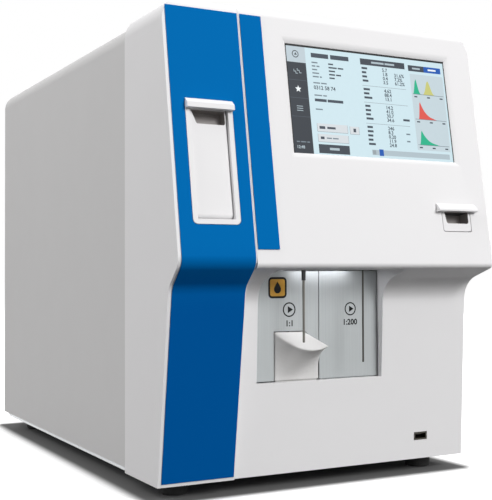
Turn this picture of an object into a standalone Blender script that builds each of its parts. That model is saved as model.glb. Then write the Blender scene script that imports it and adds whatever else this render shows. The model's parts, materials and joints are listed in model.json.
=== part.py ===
# Benchtop blood cell analyser: a leaning front with a touch screen, a narrow left column with a
# tube door, a sampling alcove with two needles, and a painted sheet cover behind them.
# Metres, +Z up. The front faces -Y. The origin is on the floor, under the middle of the case.
import math

import bmesh
import bpy
from mathutils import Matrix, Vector

# Case
CASE_WIDTH = 0.295
CASE_DEPTH = 0.490
CASE_TOP = 0.3836
FOOT_HEIGHT = 0.012
FOOT_RADIUS = 0.011
FOOT_INSET = 0.0275
GAP = 0.0003
WALL = 0.003
SHEET = 0.0015
CORNER_RADIUS = 0.018
ARC_STEPS = 6

# Front mouldings, as set-backs from the nose of the lip and heights from the floor
FACE_LEAN = math.radians(9.15)
WING_DEPTH = 0.106
ROOF_EDGE_RADIUS = 0.008
FACE_RISE = 0.2081
LIP_RISE = 0.0026
LIP_RADIUS = 0.0042
LOWER_TOP_BACK = 0.0357
LOWER_FOOT_BACK = 0.0426
OVERHANG_SLOPE = math.radians(20)
OVERHANG_RADIUS = 0.022
COLUMN_WIDTH = 0.0651
COLUMN_LIP_RISE = 0.0053
COLUMN_WAIST_DROP = 0.0125
COLUMN_WAIST_BACK = 0.0179
COLUMN_FOOT_BACK = 0.0390
COLUMN_LIP_RADIUS = 0.012
COLUMN_WAIST_RADIUS = 0.016
LABEL_MARGIN = 0.0028
LABEL_SEAM = 0.0010
LABEL_THICKNESS = 0.0004
STRIP_WIDTH = 0.0190
STRIP_RISE = 0.0161

# Cover, pan and rear panel
WINDOW_FRONT = 0.055
WINDOW_EDGE = 0.012
COVER_DROP = 0.004
COVER_LIFT = 0.0035
COVER_INSET = 0.0015
REAR_RECESS = 0.014
PAN_FLANGE = 0.015
SCREW_RADIUS = 0.0018
SCREW_HEAD_RADIUS = 0.0035
SCREW_HEAD = 0.0022
SCREW_LENGTH = 0.008
SCREW_INSET = 0.012

# Screen
SCREEN_FROM_COLUMN = 0.0423
SCREEN_FROM_SIDE = 0.0265
SCREEN_FOOT = 0.0947
SCREEN_FROM_TOP = 0.0252
SCREEN_CHAMFER = 0.0045
GLASS = 0.0018
PANEL_DEPTH = 0.006
SCREEN_OVERLAP = 0.003
BRACKET_LAP = 0.0045

# Tube door
DOOR_FROM_SIDE = 0.0337
DOOR_FRAME_WIDTH = 0.0396
DOOR_FRAME_FOOT = 0.0349
DOOR_FRAME_HEIGHT = 0.0962
DOOR_RIM = 0.004
DOOR_RIM_PROUD = 0.0008
DOOR_FRAME_DEPTH = 0.028
DOOR_GAP = 0.0010
DOOR_RECESS = 0.002
DOOR_THICKNESS = 0.004
DOOR_LIP_PROUD = 0.005
DOOR_LIP_HEIGHT = 0.0080
DOOR_NOSE = 0.004
HINGE_RADIUS = 0.0035
PIN_RADIUS = 0.0015
SCOOP_HEIGHT = 0.0105
SCOOP_DEPTH = 0.008
SCOOP_WALL = 0.0016
SCOOP_SIDE = 0.0008
TUBE_RADIUS = 0.0068
HOLDER_WALL = 0.0017
HOLDER_FLOOR = 0.004
HOLDER_CLEARANCE = 0.004
HOLDER_FOOT = 0.005
HOLDER_HEADROOM = 0.0016
PIERCE_HEADROOM = 0.0188
PIERCE_NEEDLE_RADIUS = 0.0009
PIERCE_BLOCK = 0.008
PIERCE_PLATE = 0.006

# Micro sample drawer
DRAWER_FROM_SIDE = 0.0336
DRAWER_WIDTH = 0.0302
DRAWER_FOOT = 0.0331
DRAWER_HEIGHT = 0.0186
DRAWER_PANEL = 0.003
DRAWER_LENGTH = 0.056
DRAWER_LIP_LAP = 0.0055
DRAWER_LIP_HEIGHT = 0.0058
DRAWER_SCOOP_FOOT = 0.0070
DRAWER_NOSE = 0.0017
DRAWER_WALL = 0.002
GUIDE_WALL = 0.0018

# Alcove
ALCOVE_FROM_COLUMN = 0.0201
ALCOVE_WIDTH = 0.121
ALCOVE_HEIGHT = 0.090
ALCOVE_ROOF_RISE = 0.0015
ALCOVE_FRONT = 0.006
PLATE_BACK = 0.045
PLATE_THICKNESS = 0.0015
PLATE_LAP = 0.0025
PLATE_GAP = 0.0007
PLATE_DROP = 0.0003
SEAM_FROM_LEFT = 0.062
LEVER_WIDTH = 0.0430
LEVER_RISE = 0.0407
LEVER_SHELF = 0.0291
LEVER_TURN = 0.0130
LEVER_REACH = 0.0163
LEVER_LIP_DROP = 0.0148
LEVER_TIP_LIFT = 0.0036
LEVER_BODY = 0.003
LEVER_COLUMNS = 14
LEVER_ROWS = 9
# Exponents of the lever's curves: its fan from the left edge, its lifted tip and its hooked right side
LEVER_FAN = 3.5
LEVER_TIP = 6
LEVER_HOOK = 4
LEVER_HOOK_START = 3
PIVOT_BACK = 0.052
PIVOT_DROP = 0.0030
PIVOT_BOSS = 0.0031

# Needles and their lifts
NEEDLE_BACK = 0.023
WHOLE_NEEDLE_OFFSET = -0.028
WHOLE_NEEDLE_RADIUS = 0.0010
WHOLE_NEEDLE_DROP = 0.0572
DILUTE_NEEDLE_OFFSET = 0.029
DILUTE_NEEDLE_RADIUS = 0.0008
DILUTE_NEEDLE_DROP = 0.0751
CUP_WALL = 0.0004
WHOLE_CUP_DROP = 0.0077
DILUTE_CUP_RISE = 0.0010
CUP_FLANGE = 0.006
CUP_FLANGE_THICKNESS = 0.0014
ARM_CLEARANCE = 0.0008
ARM_HEIGHT = 0.008
ARM_HALF_WIDTH = 0.006
ARM_NOSE = 0.004
ROD_BACK = 0.058
ROD_RADIUS = 0.003
SCREW_BACK = 0.074
LIFT_SCREW_RADIUS = 0.0025
LIFT_STROKE = 0.070
MOTOR_SIZE = 0.028
MOTOR_HEIGHT = 0.030
SHELF = 0.002
FRAME_BACK = 0.090
FRAME_HALF_WIDTH = 0.049
FRAME_RISE = 0.1245
SHELF_SET_BACK = 0.001
SWITCH_SHELF_RISE = 0.0325
SWITCH_LENGTH = 0.020
SWITCH_HEIGHT = 0.010
SWITCH_WIDTH = 0.0064
SWITCH_CLEARANCE = 0.0035
LAMP_REACH_LEFT = 0.026
LAMP_REACH_RIGHT = 0.029
LAMP_BACK = 0.038
LAMP_WIDTH = 0.007
LAMP_HEIGHT = 0.0040

# Front data socket
USB_FROM_SIDE = 0.0458
USB_Z = 0.0315
USB_WIDTH = 0.0135
USB_HEIGHT = 0.0064
USB_DEPTH = 0.016
USB_SHELL = 0.0011

# Inside
CHASSIS_FROM_SIDE = 0.1335
CHASSIS_FRONT = 0.125
CHASSIS_FROM_TOP = 0.0536
CHASSIS_FOOT = 0.022
BOARD_STANDOFF = 0.008
BOARD_THICKNESS = 0.0016
BOARD_FRONT = 0.200
BOARD_FOOT = 0.120
BOARD_TOP = 0.258
PORT_WIDTH = 0.012
PORT_FOOT = 0.140
PORT_TOP = 0.215
# Each chip: its place along and up the board and its side, as shares of the board
BOARD_CHIPS = ((0.20, 0.25, 0.18), (0.45, 0.60, 0.22), (0.30, 0.15, 0.10))
SUPPLY_FROM_SIDE = 0.0125
SUPPLY_WIDTH = 0.090
SUPPLY_LENGTH = 0.120
SUPPLY_HEIGHT = 0.060
COUNTER_FRONT = 0.150
COUNTER_LENGTH = 0.090
COUNTER_DEPTH = 0.050
COUNTER_FOOT = 0.170
COUNTER_HEIGHT = 0.030
CUP_CHAMBER_RADIUS = 0.014
CUP_CHAMBER_HEIGHT = 0.040
CHAMBER_WALL = 0.002
MANIFOLD_FRONT = 0.270
MANIFOLD_LENGTH = 0.130
MANIFOLD_DEPTH = 0.030
MANIFOLD_FOOT = 0.090
MANIFOLD_HEIGHT = 0.040
VALVE_RADIUS = 0.008
VALVE_HEIGHT = 0.026
VALVE_COUNT = 6
PUMP_MIDDLE = 0.320
PUMP_Z = 0.230
PUMP_RADIUS = 0.026
PUMP_MOTOR_LENGTH = 0.034
ROLLER_RADIUS = 0.005
ROLLER_COUNT = 3
ROTOR_THICKNESS = 0.012

# Rear
FAN_FROM_SIDE = 0.0625
FAN_FROM_TOP = 0.0836
FAN_SIZE = 0.080
FAN_DEPTH = 0.025
FAN_BORE = 0.037
FAN_HUB = 0.016
FAN_BLADES = 7
GRILLE_SLOT = 0.004
GRILLE_PITCH = 0.0085
INLET_FROM_SIDE = 0.0525
INLET_Z = 0.110
INLET_WIDTH = 0.030
INLET_HEIGHT = 0.052
INLET_DEPTH = 0.024
INLET_FLANGE = 0.003
INLET_SOCKET = 0.015
# The three blades, measured across and up from the middle of the socket
INLET_BLADES = ((-0.007, -0.002), (0.0, 0.003), (0.007, -0.002))
ROCKER_WIDTH = 0.014
ROCKER_HEIGHT = 0.017
ROCKER_TILT = math.radians(6)
ROCKER_ROOM = 0.0012
ROCKER_PROUD = 0.0015
ROCKER_BACK_SHARE = 0.8
PORTS_FROM_SIDE = 0.062
PORTS_Z = 0.060
PORTS_PITCH = 0.030
PORTS_COUNT = 3
PORTS_RADIUS = 0.0045
PORTS_BORE = 0.0018
PORTS_REACH = 0.010

# Places worked out from the sizes above
HALF_WIDTH = CASE_WIDTH / 2
LIP_Z = CASE_TOP - FACE_RISE
FACE_HEIGHT = FACE_RISE / math.cos(FACE_LEAN)
LIP_CORNER_Z = LIP_Z + LIP_RISE
COLUMN_LIP_Z = LIP_Z + COLUMN_LIP_RISE
COLUMN_WAIST_Z = LIP_Z - COLUMN_WAIST_DROP
STRIP_FOOT_Z = LIP_Z + STRIP_RISE
FRONT_Y = -CASE_DEPTH / 2
SEAM_Y = FRONT_Y + WING_DEPTH
REAR_Y = FRONT_Y + CASE_DEPTH
COLUMN_RIGHT = -HALF_WIDTH + COLUMN_WIDTH
BEZEL_LEFT = COLUMN_RIGHT + GAP
SCREEN_LEFT = BEZEL_LEFT + SCREEN_FROM_COLUMN
SCREEN_WIDTH = HALF_WIDTH - SCREEN_FROM_SIDE - SCREEN_LEFT
SCREEN_HEIGHT = FACE_HEIGHT - SCREEN_FROM_TOP - SCREEN_FOOT
DOOR_MIDDLE = DOOR_FROM_SIDE - HALF_WIDTH
HOLDER_HEIGHT = (DOOR_FRAME_HEIGHT - DOOR_LIP_HEIGHT - SCOOP_HEIGHT - SCOOP_WALL - HOLDER_HEADROOM
                 - DOOR_RIM - DOOR_GAP - 3 * HINGE_RADIUS - HOLDER_FOOT)
PIERCE_STROKE = (FACE_HEIGHT - PIERCE_HEADROOM - DOOR_FRAME_FOOT - DOOR_FRAME_HEIGHT
                 - 2 * PIERCE_PLATE - PIERCE_BLOCK - 3 * GAP)
DRAWER_MIDDLE = HALF_WIDTH - DRAWER_FROM_SIDE
ALCOVE_LEFT = BEZEL_LEFT + ALCOVE_FROM_COLUMN
ALCOVE_RIGHT = ALCOVE_LEFT + ALCOVE_WIDTH
ALCOVE_FLOOR = LIP_Z - ALCOVE_HEIGHT
ALCOVE_TOP = LIP_Z + ALCOVE_ROOF_RISE
PLATE_FOOT = ALCOVE_FLOOR + PLATE_GAP
PLATE_TOP = LIP_Z - PLATE_DROP
SEAM_X = ALCOVE_LEFT + SEAM_FROM_LEFT
LEVER_LEFT = SEAM_X - LEVER_WIDTH
LEVER_TOP = ALCOVE_FLOOR + LEVER_RISE
WHOLE_NEEDLE_X = SEAM_X + WHOLE_NEEDLE_OFFSET
WHOLE_NEEDLE_TIP = LIP_Z - WHOLE_NEEDLE_DROP
DILUTE_NEEDLE_X = SEAM_X + DILUTE_NEEDLE_OFFSET
DILUTE_NEEDLE_TIP = LIP_Z - DILUTE_NEEDLE_DROP
WHOLE_CUP_FOOT = LIP_Z - WHOLE_CUP_DROP
DILUTE_CUP_FOOT = LIP_Z + DILUTE_CUP_RISE
CEILING_TOP = ALCOVE_TOP + WALL
ARM_FOOT = CEILING_TOP + GAP + CUP_FLANGE_THICKNESS + ARM_CLEARANCE
FRAME_TOP = LIP_Z + FRAME_RISE
SWITCH_SHELF_Z = ALCOVE_FLOOR + SWITCH_SHELF_RISE
LAMP_LEFT = SEAM_X - LAMP_REACH_LEFT
LAMP_RIGHT = SEAM_X + LAMP_REACH_RIGHT
USB_MIDDLE = HALF_WIDTH - USB_FROM_SIDE
CHASSIS_X = HALF_WIDTH - CHASSIS_FROM_SIDE
CHASSIS_TOP = CASE_TOP - CHASSIS_FROM_TOP
SUPPLY_LEFT = HALF_WIDTH - SUPPLY_FROM_SIDE - SUPPLY_WIDTH
FAN_X = HALF_WIDTH - FAN_FROM_SIDE
FAN_Z = CASE_TOP - FAN_FROM_TOP
INLET_X = HALF_WIDTH - INLET_FROM_SIDE
PORTS_X = PORTS_FROM_SIDE - HALF_WIDTH
LIP_SPREAD = (math.cos((math.pi / 2 - FACE_LEAN - OVERHANG_SLOPE) / 2)
              / math.sin((math.pi / 2 - FACE_LEAN + OVERHANG_SLOPE) / 2))
LIP_BACK = LIP_RADIUS * (1 - LIP_SPREAD) - LIP_RISE * math.tan(FACE_LEAN)
FACE_Y = FRONT_Y + LIP_BACK
PAN_TOP = FOOT_HEIGHT + SHEET
PANEL_Y = REAR_Y - REAR_RECESS
PLATE_Y = FRONT_Y + PLATE_BACK
NEEDLE_Y = FRONT_Y + NEEDLE_BACK
SWITCH_Y = PLATE_Y + LEVER_BODY + SWITCH_CLEARANCE
PIVOT_Y = FRONT_Y + PIVOT_BACK
PIVOT_Z = ALCOVE_FLOOR - PIVOT_DROP


def clear_scene():
    for old in list(bpy.data.objects):
        bpy.data.objects.remove(old, do_unlink=True)


def finish(name, color, roughness, metallic=0.0):
    material = bpy.data.materials.new(name)
    material.use_nodes = True
    shader = material.node_tree.nodes["Principled BSDF"]
    shader.inputs["Base Color"].default_value = (*color, 1.0)
    shader.inputs["Roughness"].default_value = roughness
    shader.inputs["Metallic"].default_value = metallic
    return material


def white_plastic(name):
    return finish(name, (0.80, 0.80, 0.81), 0.45)


def grey_paint(name):
    return finish(name, (0.52, 0.51, 0.51), 0.5)


def brushed_steel(name):
    return finish(name, (0.46, 0.48, 0.49), 0.35, 1.0)


def plated_steel(name):
    return finish(name, (0.55, 0.56, 0.57), 0.4, 1.0)


def black_plastic(name):
    return finish(name, (0.03, 0.03, 0.035), 0.5)


def black_rubber(name):
    return finish(name, (0.025, 0.025, 0.025), 0.85)


def blue_label(name):
    return finish(name, (0.0, 0.16, 0.46), 0.4)


def clear_plastic(name):
    return finish(name, (0.70, 0.74, 0.76), 0.2)


def green_board(name):
    return finish(name, (0.02, 0.16, 0.07), 0.5)


# Outlines are lists of 2D points that run once round the shape.
def arc(middle, radius, start, end, steps=ARC_STEPS):
    angles = [math.radians(start + (end - start) * i / steps) for i in range(steps + 1)]
    return [(middle[0] + radius * math.cos(a), middle[1] + radius * math.sin(a)) for a in angles]


def filleted(corners, steps=ARC_STEPS):
    """Round each corner (u, v, radius) of a polygon with an arc tangent to both its sides."""
    outline = []
    for index, (u, v, radius) in enumerate(corners):
        here = Vector((u, v))
        if radius <= 0:
            outline.append((u, v))
            continue
        to_last = (Vector(corners[index - 1][:2]) - here).normalized()
        to_next = (Vector(corners[(index + 1) % len(corners)][:2]) - here).normalized()
        half_angle = to_last.angle(to_next) / 2
        reach = radius / math.tan(half_angle)
        middle = here + (to_last + to_next).normalized() * (radius / math.sin(half_angle))
        start = here + to_last * reach - middle
        sweep = start.angle_signed(here + to_next * reach - middle)
        for i in range(steps + 1):
            turned_by = Matrix.Rotation(-sweep * i / steps, 2)
            outline.append(tuple(middle + turned_by @ start))
    return outline


def inset(outline, distance):
    """Move every side of an anticlockwise outline inwards by the distance, with mitred corners."""
    result = []
    for index, point in enumerate(outline):
        here = Vector(point)
        before = (here - Vector(outline[index - 1])).normalized()
        after = (Vector(outline[(index + 1) % len(outline)]) - here).normalized()
        normal_before = Vector((-before.y, before.x))
        normal_after = Vector((-after.y, after.x))
        mitre = (normal_before + normal_after).normalized()
        result.append(tuple(here + mitre * (distance / mitre.dot(normal_after))))
    return result


def rectangle(low_u, low_v, high_u, high_v, radius=0.0, steps=ARC_STEPS):
    corners = [(low_u, low_v, radius), (high_u, low_v, radius),
               (high_u, high_v, radius), (low_u, high_v, radius)]
    return filleted(corners, steps)


def add_mesh(name, bm, material=None, parent=None):
    bmesh.ops.recalc_face_normals(bm, faces=bm.faces)
    mesh = bpy.data.meshes.new(name)
    bm.to_mesh(mesh)
    bm.free()
    mesh.shade_smooth()
    mesh.set_sharp_from_angle(angle=math.radians(35))
    node = bpy.data.objects.new(name, mesh)
    bpy.context.scene.collection.objects.link(node)
    node.parent = parent
    if material is not None:
        mesh.materials.append(material)
    return node


AXES = {"x": Matrix(((0, 0, 1), (1, 0, 0), (0, 1, 0))),
        "y": Matrix(((1, 0, 0), (0, 0, 1), (0, 1, 0))),
        "z": Matrix.Identity(3)}


def prism(name, outline, axis, start, end, material=None, parent=None):
    """Extrude an outline along an axis; its 2D points are (y, z), (x, z) or (x, y)."""
    bm = bmesh.new()
    corners = [bm.verts.new(AXES[axis] @ Vector((u, v, start))) for u, v in outline]
    face = bm.faces.new(corners)
    moved = bmesh.ops.extrude_face_region(bm, geom=[face])["geom"]
    step = AXES[axis] @ Vector((0, 0, end - start))
    bmesh.ops.translate(bm, verts=[v for v in moved if isinstance(v, bmesh.types.BMVert)], vec=step)
    return add_mesh(name, bm, material, parent)


def box(name, low, high, material=None, parent=None):
    outline = rectangle(low[0], low[1], high[0], high[1])
    return prism(name, outline, "z", low[2], high[2], material, parent)


def rod(name, middle, radius, axis, start, end, material=None, parent=None, sides=24):
    """A round bar along an axis, whose middle is given in the two other coordinates."""
    return prism(name, arc(middle, radius, 0, 360 - 360 / sides, sides - 1),
                 axis, start, end, material, parent)


def turned(name, profile, middle, axis, material=None, parent=None, sides=24):
    """Turn a closed profile of (radius, place along the axis) points round the axis."""
    bm = bmesh.new()
    rings = []
    for radius, place in profile:
        points = arc(middle, radius, 0, 360 - 360 / sides, sides - 1)
        rings.append([bm.verts.new(AXES[axis] @ Vector((u, v, place))) for u, v in points])
    for index, ring in enumerate(rings):
        other = rings[(index + 1) % len(rings)]
        for i in range(sides):
            j = (i + 1) % sides
            bm.faces.new((ring[i], ring[j], other[j], other[i]))
    return add_mesh(name, bm, material, parent)


def as_tool(tool):
    tool.hide_render = True
    tool.display_type = "WIRE"
    return tool


def combine(node, tool, operation):
    modifier = node.modifiers.new(tool.name, "BOOLEAN")
    modifier.operation = operation
    modifier.solver = "EXACT"
    modifier.object = as_tool(tool)
    return node


def cut(node, *tools):
    for tool in tools:
        combine(node, tool, "DIFFERENCE")
    return node


def weld(node, *tools):
    for tool in tools:
        combine(node, tool, "UNION")
    return node


def keep_common(node, tool):
    return combine(node, tool, "INTERSECT")


def set_origin(node, point):
    """Put a piece's origin on its joint's axis without moving the piece."""
    offset = Vector(point)
    node.data.transform(Matrix.Translation(-offset))
    node.location = offset
    return node


def guide(name, location, turn=0.0):
    empty = bpy.data.objects.new(name, None)
    bpy.context.scene.collection.objects.link(empty)
    empty.location = location
    empty.rotation_euler = (turn, 0, 0)
    return empty


def face_frame():
    """An empty on the leaning face: X to the right, Y into the case, Z up along the face."""
    return guide("leaning_face", (0, FACE_Y, LIP_Z), -FACE_LEAN)


def face_back(z):
    """How far the leaning face stands behind the nose of the lip at a height."""
    return LIP_BACK + (z - LIP_Z) * math.tan(FACE_LEAN)


def set_back(corners):
    return [(FRONT_Y + back, z, radius) for back, z, radius in corners]


def overhang_corner():
    """Where the sloping underside of the overhang meets the lower front, before its fillet."""
    z = LIP_CORNER_Z - LOWER_TOP_BACK * math.tan(OVERHANG_SLOPE)
    return lower_front_y(z) - FRONT_Y, z


def bezel_profile():
    return filleted(set_back([
        (WING_DEPTH, FOOT_HEIGHT, 0), (WING_DEPTH, CASE_TOP, 0),
        (face_back(CASE_TOP), CASE_TOP, ROOF_EDGE_RADIUS),
        (face_back(LIP_CORNER_Z), LIP_CORNER_Z, LIP_RADIUS),
        (*overhang_corner(), OVERHANG_RADIUS), (LOWER_FOOT_BACK, FOOT_HEIGHT, 0)]))


def column_profile():
    return filleted(set_back([
        (WING_DEPTH, FOOT_HEIGHT, 0), (WING_DEPTH, CASE_TOP, 0),
        (face_back(CASE_TOP), CASE_TOP, ROOF_EDGE_RADIUS),
        (face_back(COLUMN_LIP_Z), COLUMN_LIP_Z, COLUMN_LIP_RADIUS),
        (COLUMN_WAIST_BACK, COLUMN_WAIST_Z, COLUMN_WAIST_RADIUS),
        (COLUMN_FOOT_BACK, FOOT_HEIGHT, 0)]))


def hollow_profile(profile):
    """The same side view moved in by the wall, running out through the back and the floor."""
    inner = inset(profile, WALL)
    past_back = max(y for y, z in profile) + WALL
    below = min(z for y, z in profile) - WALL
    return [(past_back if y > past_back - 3 * WALL else y, below if z < below + 3 * WALL else z)
            for y, z in inner]


def moulding(name, profile, left, right, round_side, material):
    """A moulded front shell: side view and front view in common, hollow, open behind and below."""
    left_radius = CORNER_RADIUS if round_side == "left" else 0
    right_radius = CORNER_RADIUS if round_side == "right" else 0
    front_view = filleted([(left, 0, 0), (right, 0, 0), (right, CASE_TOP, right_radius),
                           (left, CASE_TOP, left_radius)])
    inside_view = filleted([(left + WALL, -WALL, 0), (right - WALL, -WALL, 0),
                            (right - WALL, CASE_TOP - WALL, max(right_radius - WALL, 0)),
                            (left + WALL, CASE_TOP - WALL, max(left_radius - WALL, 0))])
    shell = prism(name, profile, "x", left - WALL, right + WALL, material)
    keep_common(shell, prism(name + "_front_view", front_view, "y", FRONT_Y - WALL, SEAM_Y + WALL))
    hollow = prism(name + "_hollow", hollow_profile(profile), "x", left, right)
    inside = prism(name + "_inside_view", inside_view, "y", FRONT_Y - WALL, SEAM_Y + 2 * WALL)
    keep_common(hollow, inside)
    return shell, hollow


def lower_front_y(z):
    """Where the white lower front stands at a height."""
    share = (LIP_Z - z) / (LIP_Z - FOOT_HEIGHT)
    return FRONT_Y + LOWER_TOP_BACK + share * (LOWER_FOOT_BACK - LOWER_TOP_BACK)


def side_window():
    """The opening through the walls where the two front mouldings meet."""
    return box("side_window",
               (COLUMN_RIGHT - 2 * WALL, FRONT_Y + WINDOW_FRONT, FOOT_HEIGHT + WINDOW_EDGE),
               (BEZEL_LEFT + 2 * WALL, SEAM_Y - WINDOW_EDGE, CASE_TOP - 2 * WINDOW_EDGE))


def pan_room():
    """Room for the base pan under the same two walls."""
    return box("pan_room", (COLUMN_RIGHT - 2 * WALL, pan_front() - GAP, FOOT_HEIGHT - WALL),
               (BEZEL_LEFT + 2 * WALL, SEAM_Y + WALL, PAN_TOP + GAP))


def pan_front():
    return FRONT_Y + LOWER_FOOT_BACK + WALL + 2 * GAP


def front_column(leaning, joint):
    shell, hollow = moulding("front_column", column_profile(), -HALF_WIDTH, COLUMN_RIGHT, "left",
                             white_plastic("column_plastic"))
    half = DOOR_FRAME_WIDTH / 2 + GAP
    foot = DOOR_FRAME_FOOT - GAP
    top = DOOR_FRAME_FOOT + DOOR_FRAME_HEIGHT + GAP
    opening = prism("door_opening",
                    rectangle(DOOR_MIDDLE - half, foot, DOOR_MIDDLE + half, top, DOOR_RIM), "y",
                    -2 * WALL, 2 * WALL, parent=leaning)
    cut(shell, hollow, *joint, opening)
    return opening


def alcove_liner():
    """Floor, sides and roof of the alcove, from the front wall back to the plates."""
    outline = rectangle(ALCOVE_LEFT - WALL, ALCOVE_FLOOR - WALL, ALCOVE_RIGHT + WALL,
                        ALCOVE_TOP + WALL)
    liner = prism("alcove_liner", outline, "y", FRONT_Y + LIP_RADIUS, PLATE_Y - GAP)
    keep_common(liner, prism("liner_side_view", bezel_profile(), "x", ALCOVE_LEFT - 2 * WALL,
                             ALCOVE_RIGHT + 2 * WALL))
    return liner


def alcove_opening():
    return box("alcove_opening", (ALCOVE_LEFT, FRONT_Y + ALCOVE_FRONT, ALCOVE_FLOOR),
               (ALCOVE_RIGHT, PLATE_Y + WALL, ALCOVE_TOP))


def screen_opening(leaning):
    """The screen's window, wider at the front by its chamfer."""
    bm = bmesh.new()
    right = SCREEN_LEFT + SCREEN_WIDTH
    top = SCREEN_FOOT + SCREEN_HEIGHT
    slope = SCREEN_CHAMFER / WALL
    loops = []
    for depth, grow in ((-WALL, SCREEN_CHAMFER + WALL * slope), (WALL, 0), (2 * WALL, 0)):
        corners = rectangle(SCREEN_LEFT - grow, SCREEN_FOOT - grow, right + grow, top + grow)
        loops.append([bm.verts.new((x, depth, h)) for x, h in corners])
    for near, far in zip(loops, loops[1:]):
        for i in range(4):
            bm.faces.new((near[i], near[(i + 1) % 4], far[(i + 1) % 4], far[i]))
    bm.faces.new(loops[0])
    bm.faces.new(loops[-1])
    return add_mesh("screen_opening", bm, parent=leaning)


def drawer_opening(leaning):
    half = DRAWER_WIDTH / 2 + GAP
    return prism("drawer_opening",
                 rectangle(DRAWER_MIDDLE - half, DRAWER_FOOT - GAP, DRAWER_MIDDLE + half,
                           DRAWER_FOOT + DRAWER_HEIGHT + GAP, DRAWER_WALL), "y",
                 -2 * WALL, 2 * WALL, parent=leaning)


def usb_opening():
    half = USB_WIDTH / 2 + GAP
    tall = USB_HEIGHT / 2 + GAP
    front = lower_front_y(USB_Z)
    return box("usb_opening", (USB_MIDDLE - half, front - 2 * WALL, USB_Z - tall),
               (USB_MIDDLE + half, front + 2 * WALL, USB_Z + tall))


def lamp_slot():
    return box("lamp_slot", (LAMP_LEFT - GAP, FRONT_Y + LAMP_BACK - GAP - LAMP_WIDTH / 2, LIP_Z),
               (LAMP_RIGHT + GAP, FRONT_Y + LAMP_BACK + GAP + LAMP_WIDTH / 2,
                ALCOVE_TOP + 2 * WALL))


def needle_places():
    return (("whole_blood", WHOLE_NEEDLE_X, WHOLE_NEEDLE_RADIUS, WHOLE_NEEDLE_TIP,
             WHOLE_CUP_FOOT),
            ("predilute", DILUTE_NEEDLE_X, DILUTE_NEEDLE_RADIUS, DILUTE_NEEDLE_TIP,
             DILUTE_CUP_FOOT))


def front_bezel(leaning, joint):
    shell, hollow = moulding("front_bezel", bezel_profile(), BEZEL_LEFT, HALF_WIDTH, "right",
                             white_plastic("bezel_plastic"))
    cut(shell, hollow, *joint)
    weld(shell, alcove_liner())
    cut(shell, alcove_opening(), screen_opening(leaning), drawer_opening(leaning),
        usb_opening(), lamp_slot())
    for name, x, radius, tip, cup_foot in needle_places():
        cut(shell, rod(name + "_cup_hole", (x, NEEDLE_Y), radius + 2 * GAP + CUP_WALL, "z",
                       ALCOVE_TOP - WALL, ALCOVE_TOP + 2 * WALL))


def skin(outline, thickness):
    """A thin strip that follows an open outline, standing off it by the gap."""
    closed = outline + [(SEAM_Y, outline[-1][1]), (SEAM_Y, outline[0][1])]
    near = inset(closed, -GAP)[1:len(outline) - 1]
    far = inset(closed, -GAP - thickness)[1:len(outline) - 1]
    return near + far[::-1]


def front_run(profile, low, high):
    """The part of a side view's front between two heights, without the roof and the floor."""
    return [(y, z) for y, z in profile if low - GAP < z < high + GAP and y < SEAM_Y - WALL]


def column_label(opening):
    """The printed skin on the column, from near the roof to near the floor, open at the door."""
    profile = column_profile()
    top = CASE_TOP - ROOF_EDGE_RADIUS - LABEL_MARGIN
    foot = FOOT_HEIGHT + LABEL_MARGIN
    bend = front_run(profile, COLUMN_WAIST_Z - COLUMN_WAIST_RADIUS,
                     COLUMN_LIP_Z + COLUMN_LIP_RADIUS)
    share = (COLUMN_WAIST_Z - foot) / (COLUMN_WAIST_Z - FOOT_HEIGHT)
    foot_y = FRONT_Y + COLUMN_WAIST_BACK + share * (COLUMN_FOOT_BACK - COLUMN_WAIST_BACK)
    run = [(FRONT_Y + face_back(top + LABEL_MARGIN), top + LABEL_MARGIN),
           (FRONT_Y + face_back(top), top)] + bend + [(foot_y, foot)]
    run.append((foot_y + LABEL_MARGIN * (COLUMN_FOOT_BACK - COLUMN_WAIST_BACK)
                / (COLUMN_WAIST_Z - FOOT_HEIGHT), foot - LABEL_MARGIN))
    label = prism("column_label", skin(run, LABEL_THICKNESS), "x",
                  -HALF_WIDTH + LABEL_MARGIN, COLUMN_RIGHT - LABEL_SEAM,
                  blue_label("column_label_print"))
    cut(label, opening)


def bezel_label(leaning):
    """The printed strip on the bezel beside the column, down to just above the lip."""
    foot = (STRIP_FOOT_Z - LIP_Z) / math.cos(FACE_LEAN)
    top = (CASE_TOP - ROOF_EDGE_RADIUS - LABEL_MARGIN - LIP_Z) / math.cos(FACE_LEAN)
    left = BEZEL_LEFT + LABEL_SEAM
    box("bezel_label", (left, -GAP - LABEL_THICKNESS, foot), (left + STRIP_WIDTH, -GAP, top),
        blue_label("bezel_label_print"), leaning)


def cover_outline(grow):
    """Half round corners at the top; grow is negative for the inside of the sheet."""
    half = HALF_WIDTH - COVER_INSET + grow
    top = CASE_TOP - COVER_DROP + grow
    radius = CORNER_RADIUS - COVER_INSET + grow
    foot = FOOT_HEIGHT + COVER_LIFT
    return filleted([(-half, foot, 0), (half, foot, 0), (half, top, radius), (-half, top, radius)])


def main_cover():
    outer = cover_outline(0)
    inner = cover_outline(-SHEET)
    sheet = [outer[0]] + outer[:0:-1] + inner[1:] + [inner[0]]
    prism("main_cover", sheet, "y", SEAM_Y + GAP, REAR_Y, grey_paint("cover_paint"))


def base_pan():
    half = HALF_WIDTH - COVER_INSET - SHEET - GAP
    outline = [(-half, FOOT_HEIGHT), (half, FOOT_HEIGHT), (half, PAN_TOP + PAN_FLANGE),
               (half - SHEET, PAN_TOP + PAN_FLANGE), (half - SHEET, PAN_TOP),
               (SHEET - half, PAN_TOP), (SHEET - half, PAN_TOP + PAN_FLANGE),
               (-half, PAN_TOP + PAN_FLANGE)]
    prism("base_pan", outline, "y", pan_front(), PANEL_Y, plated_steel("pan_steel"))


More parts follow.
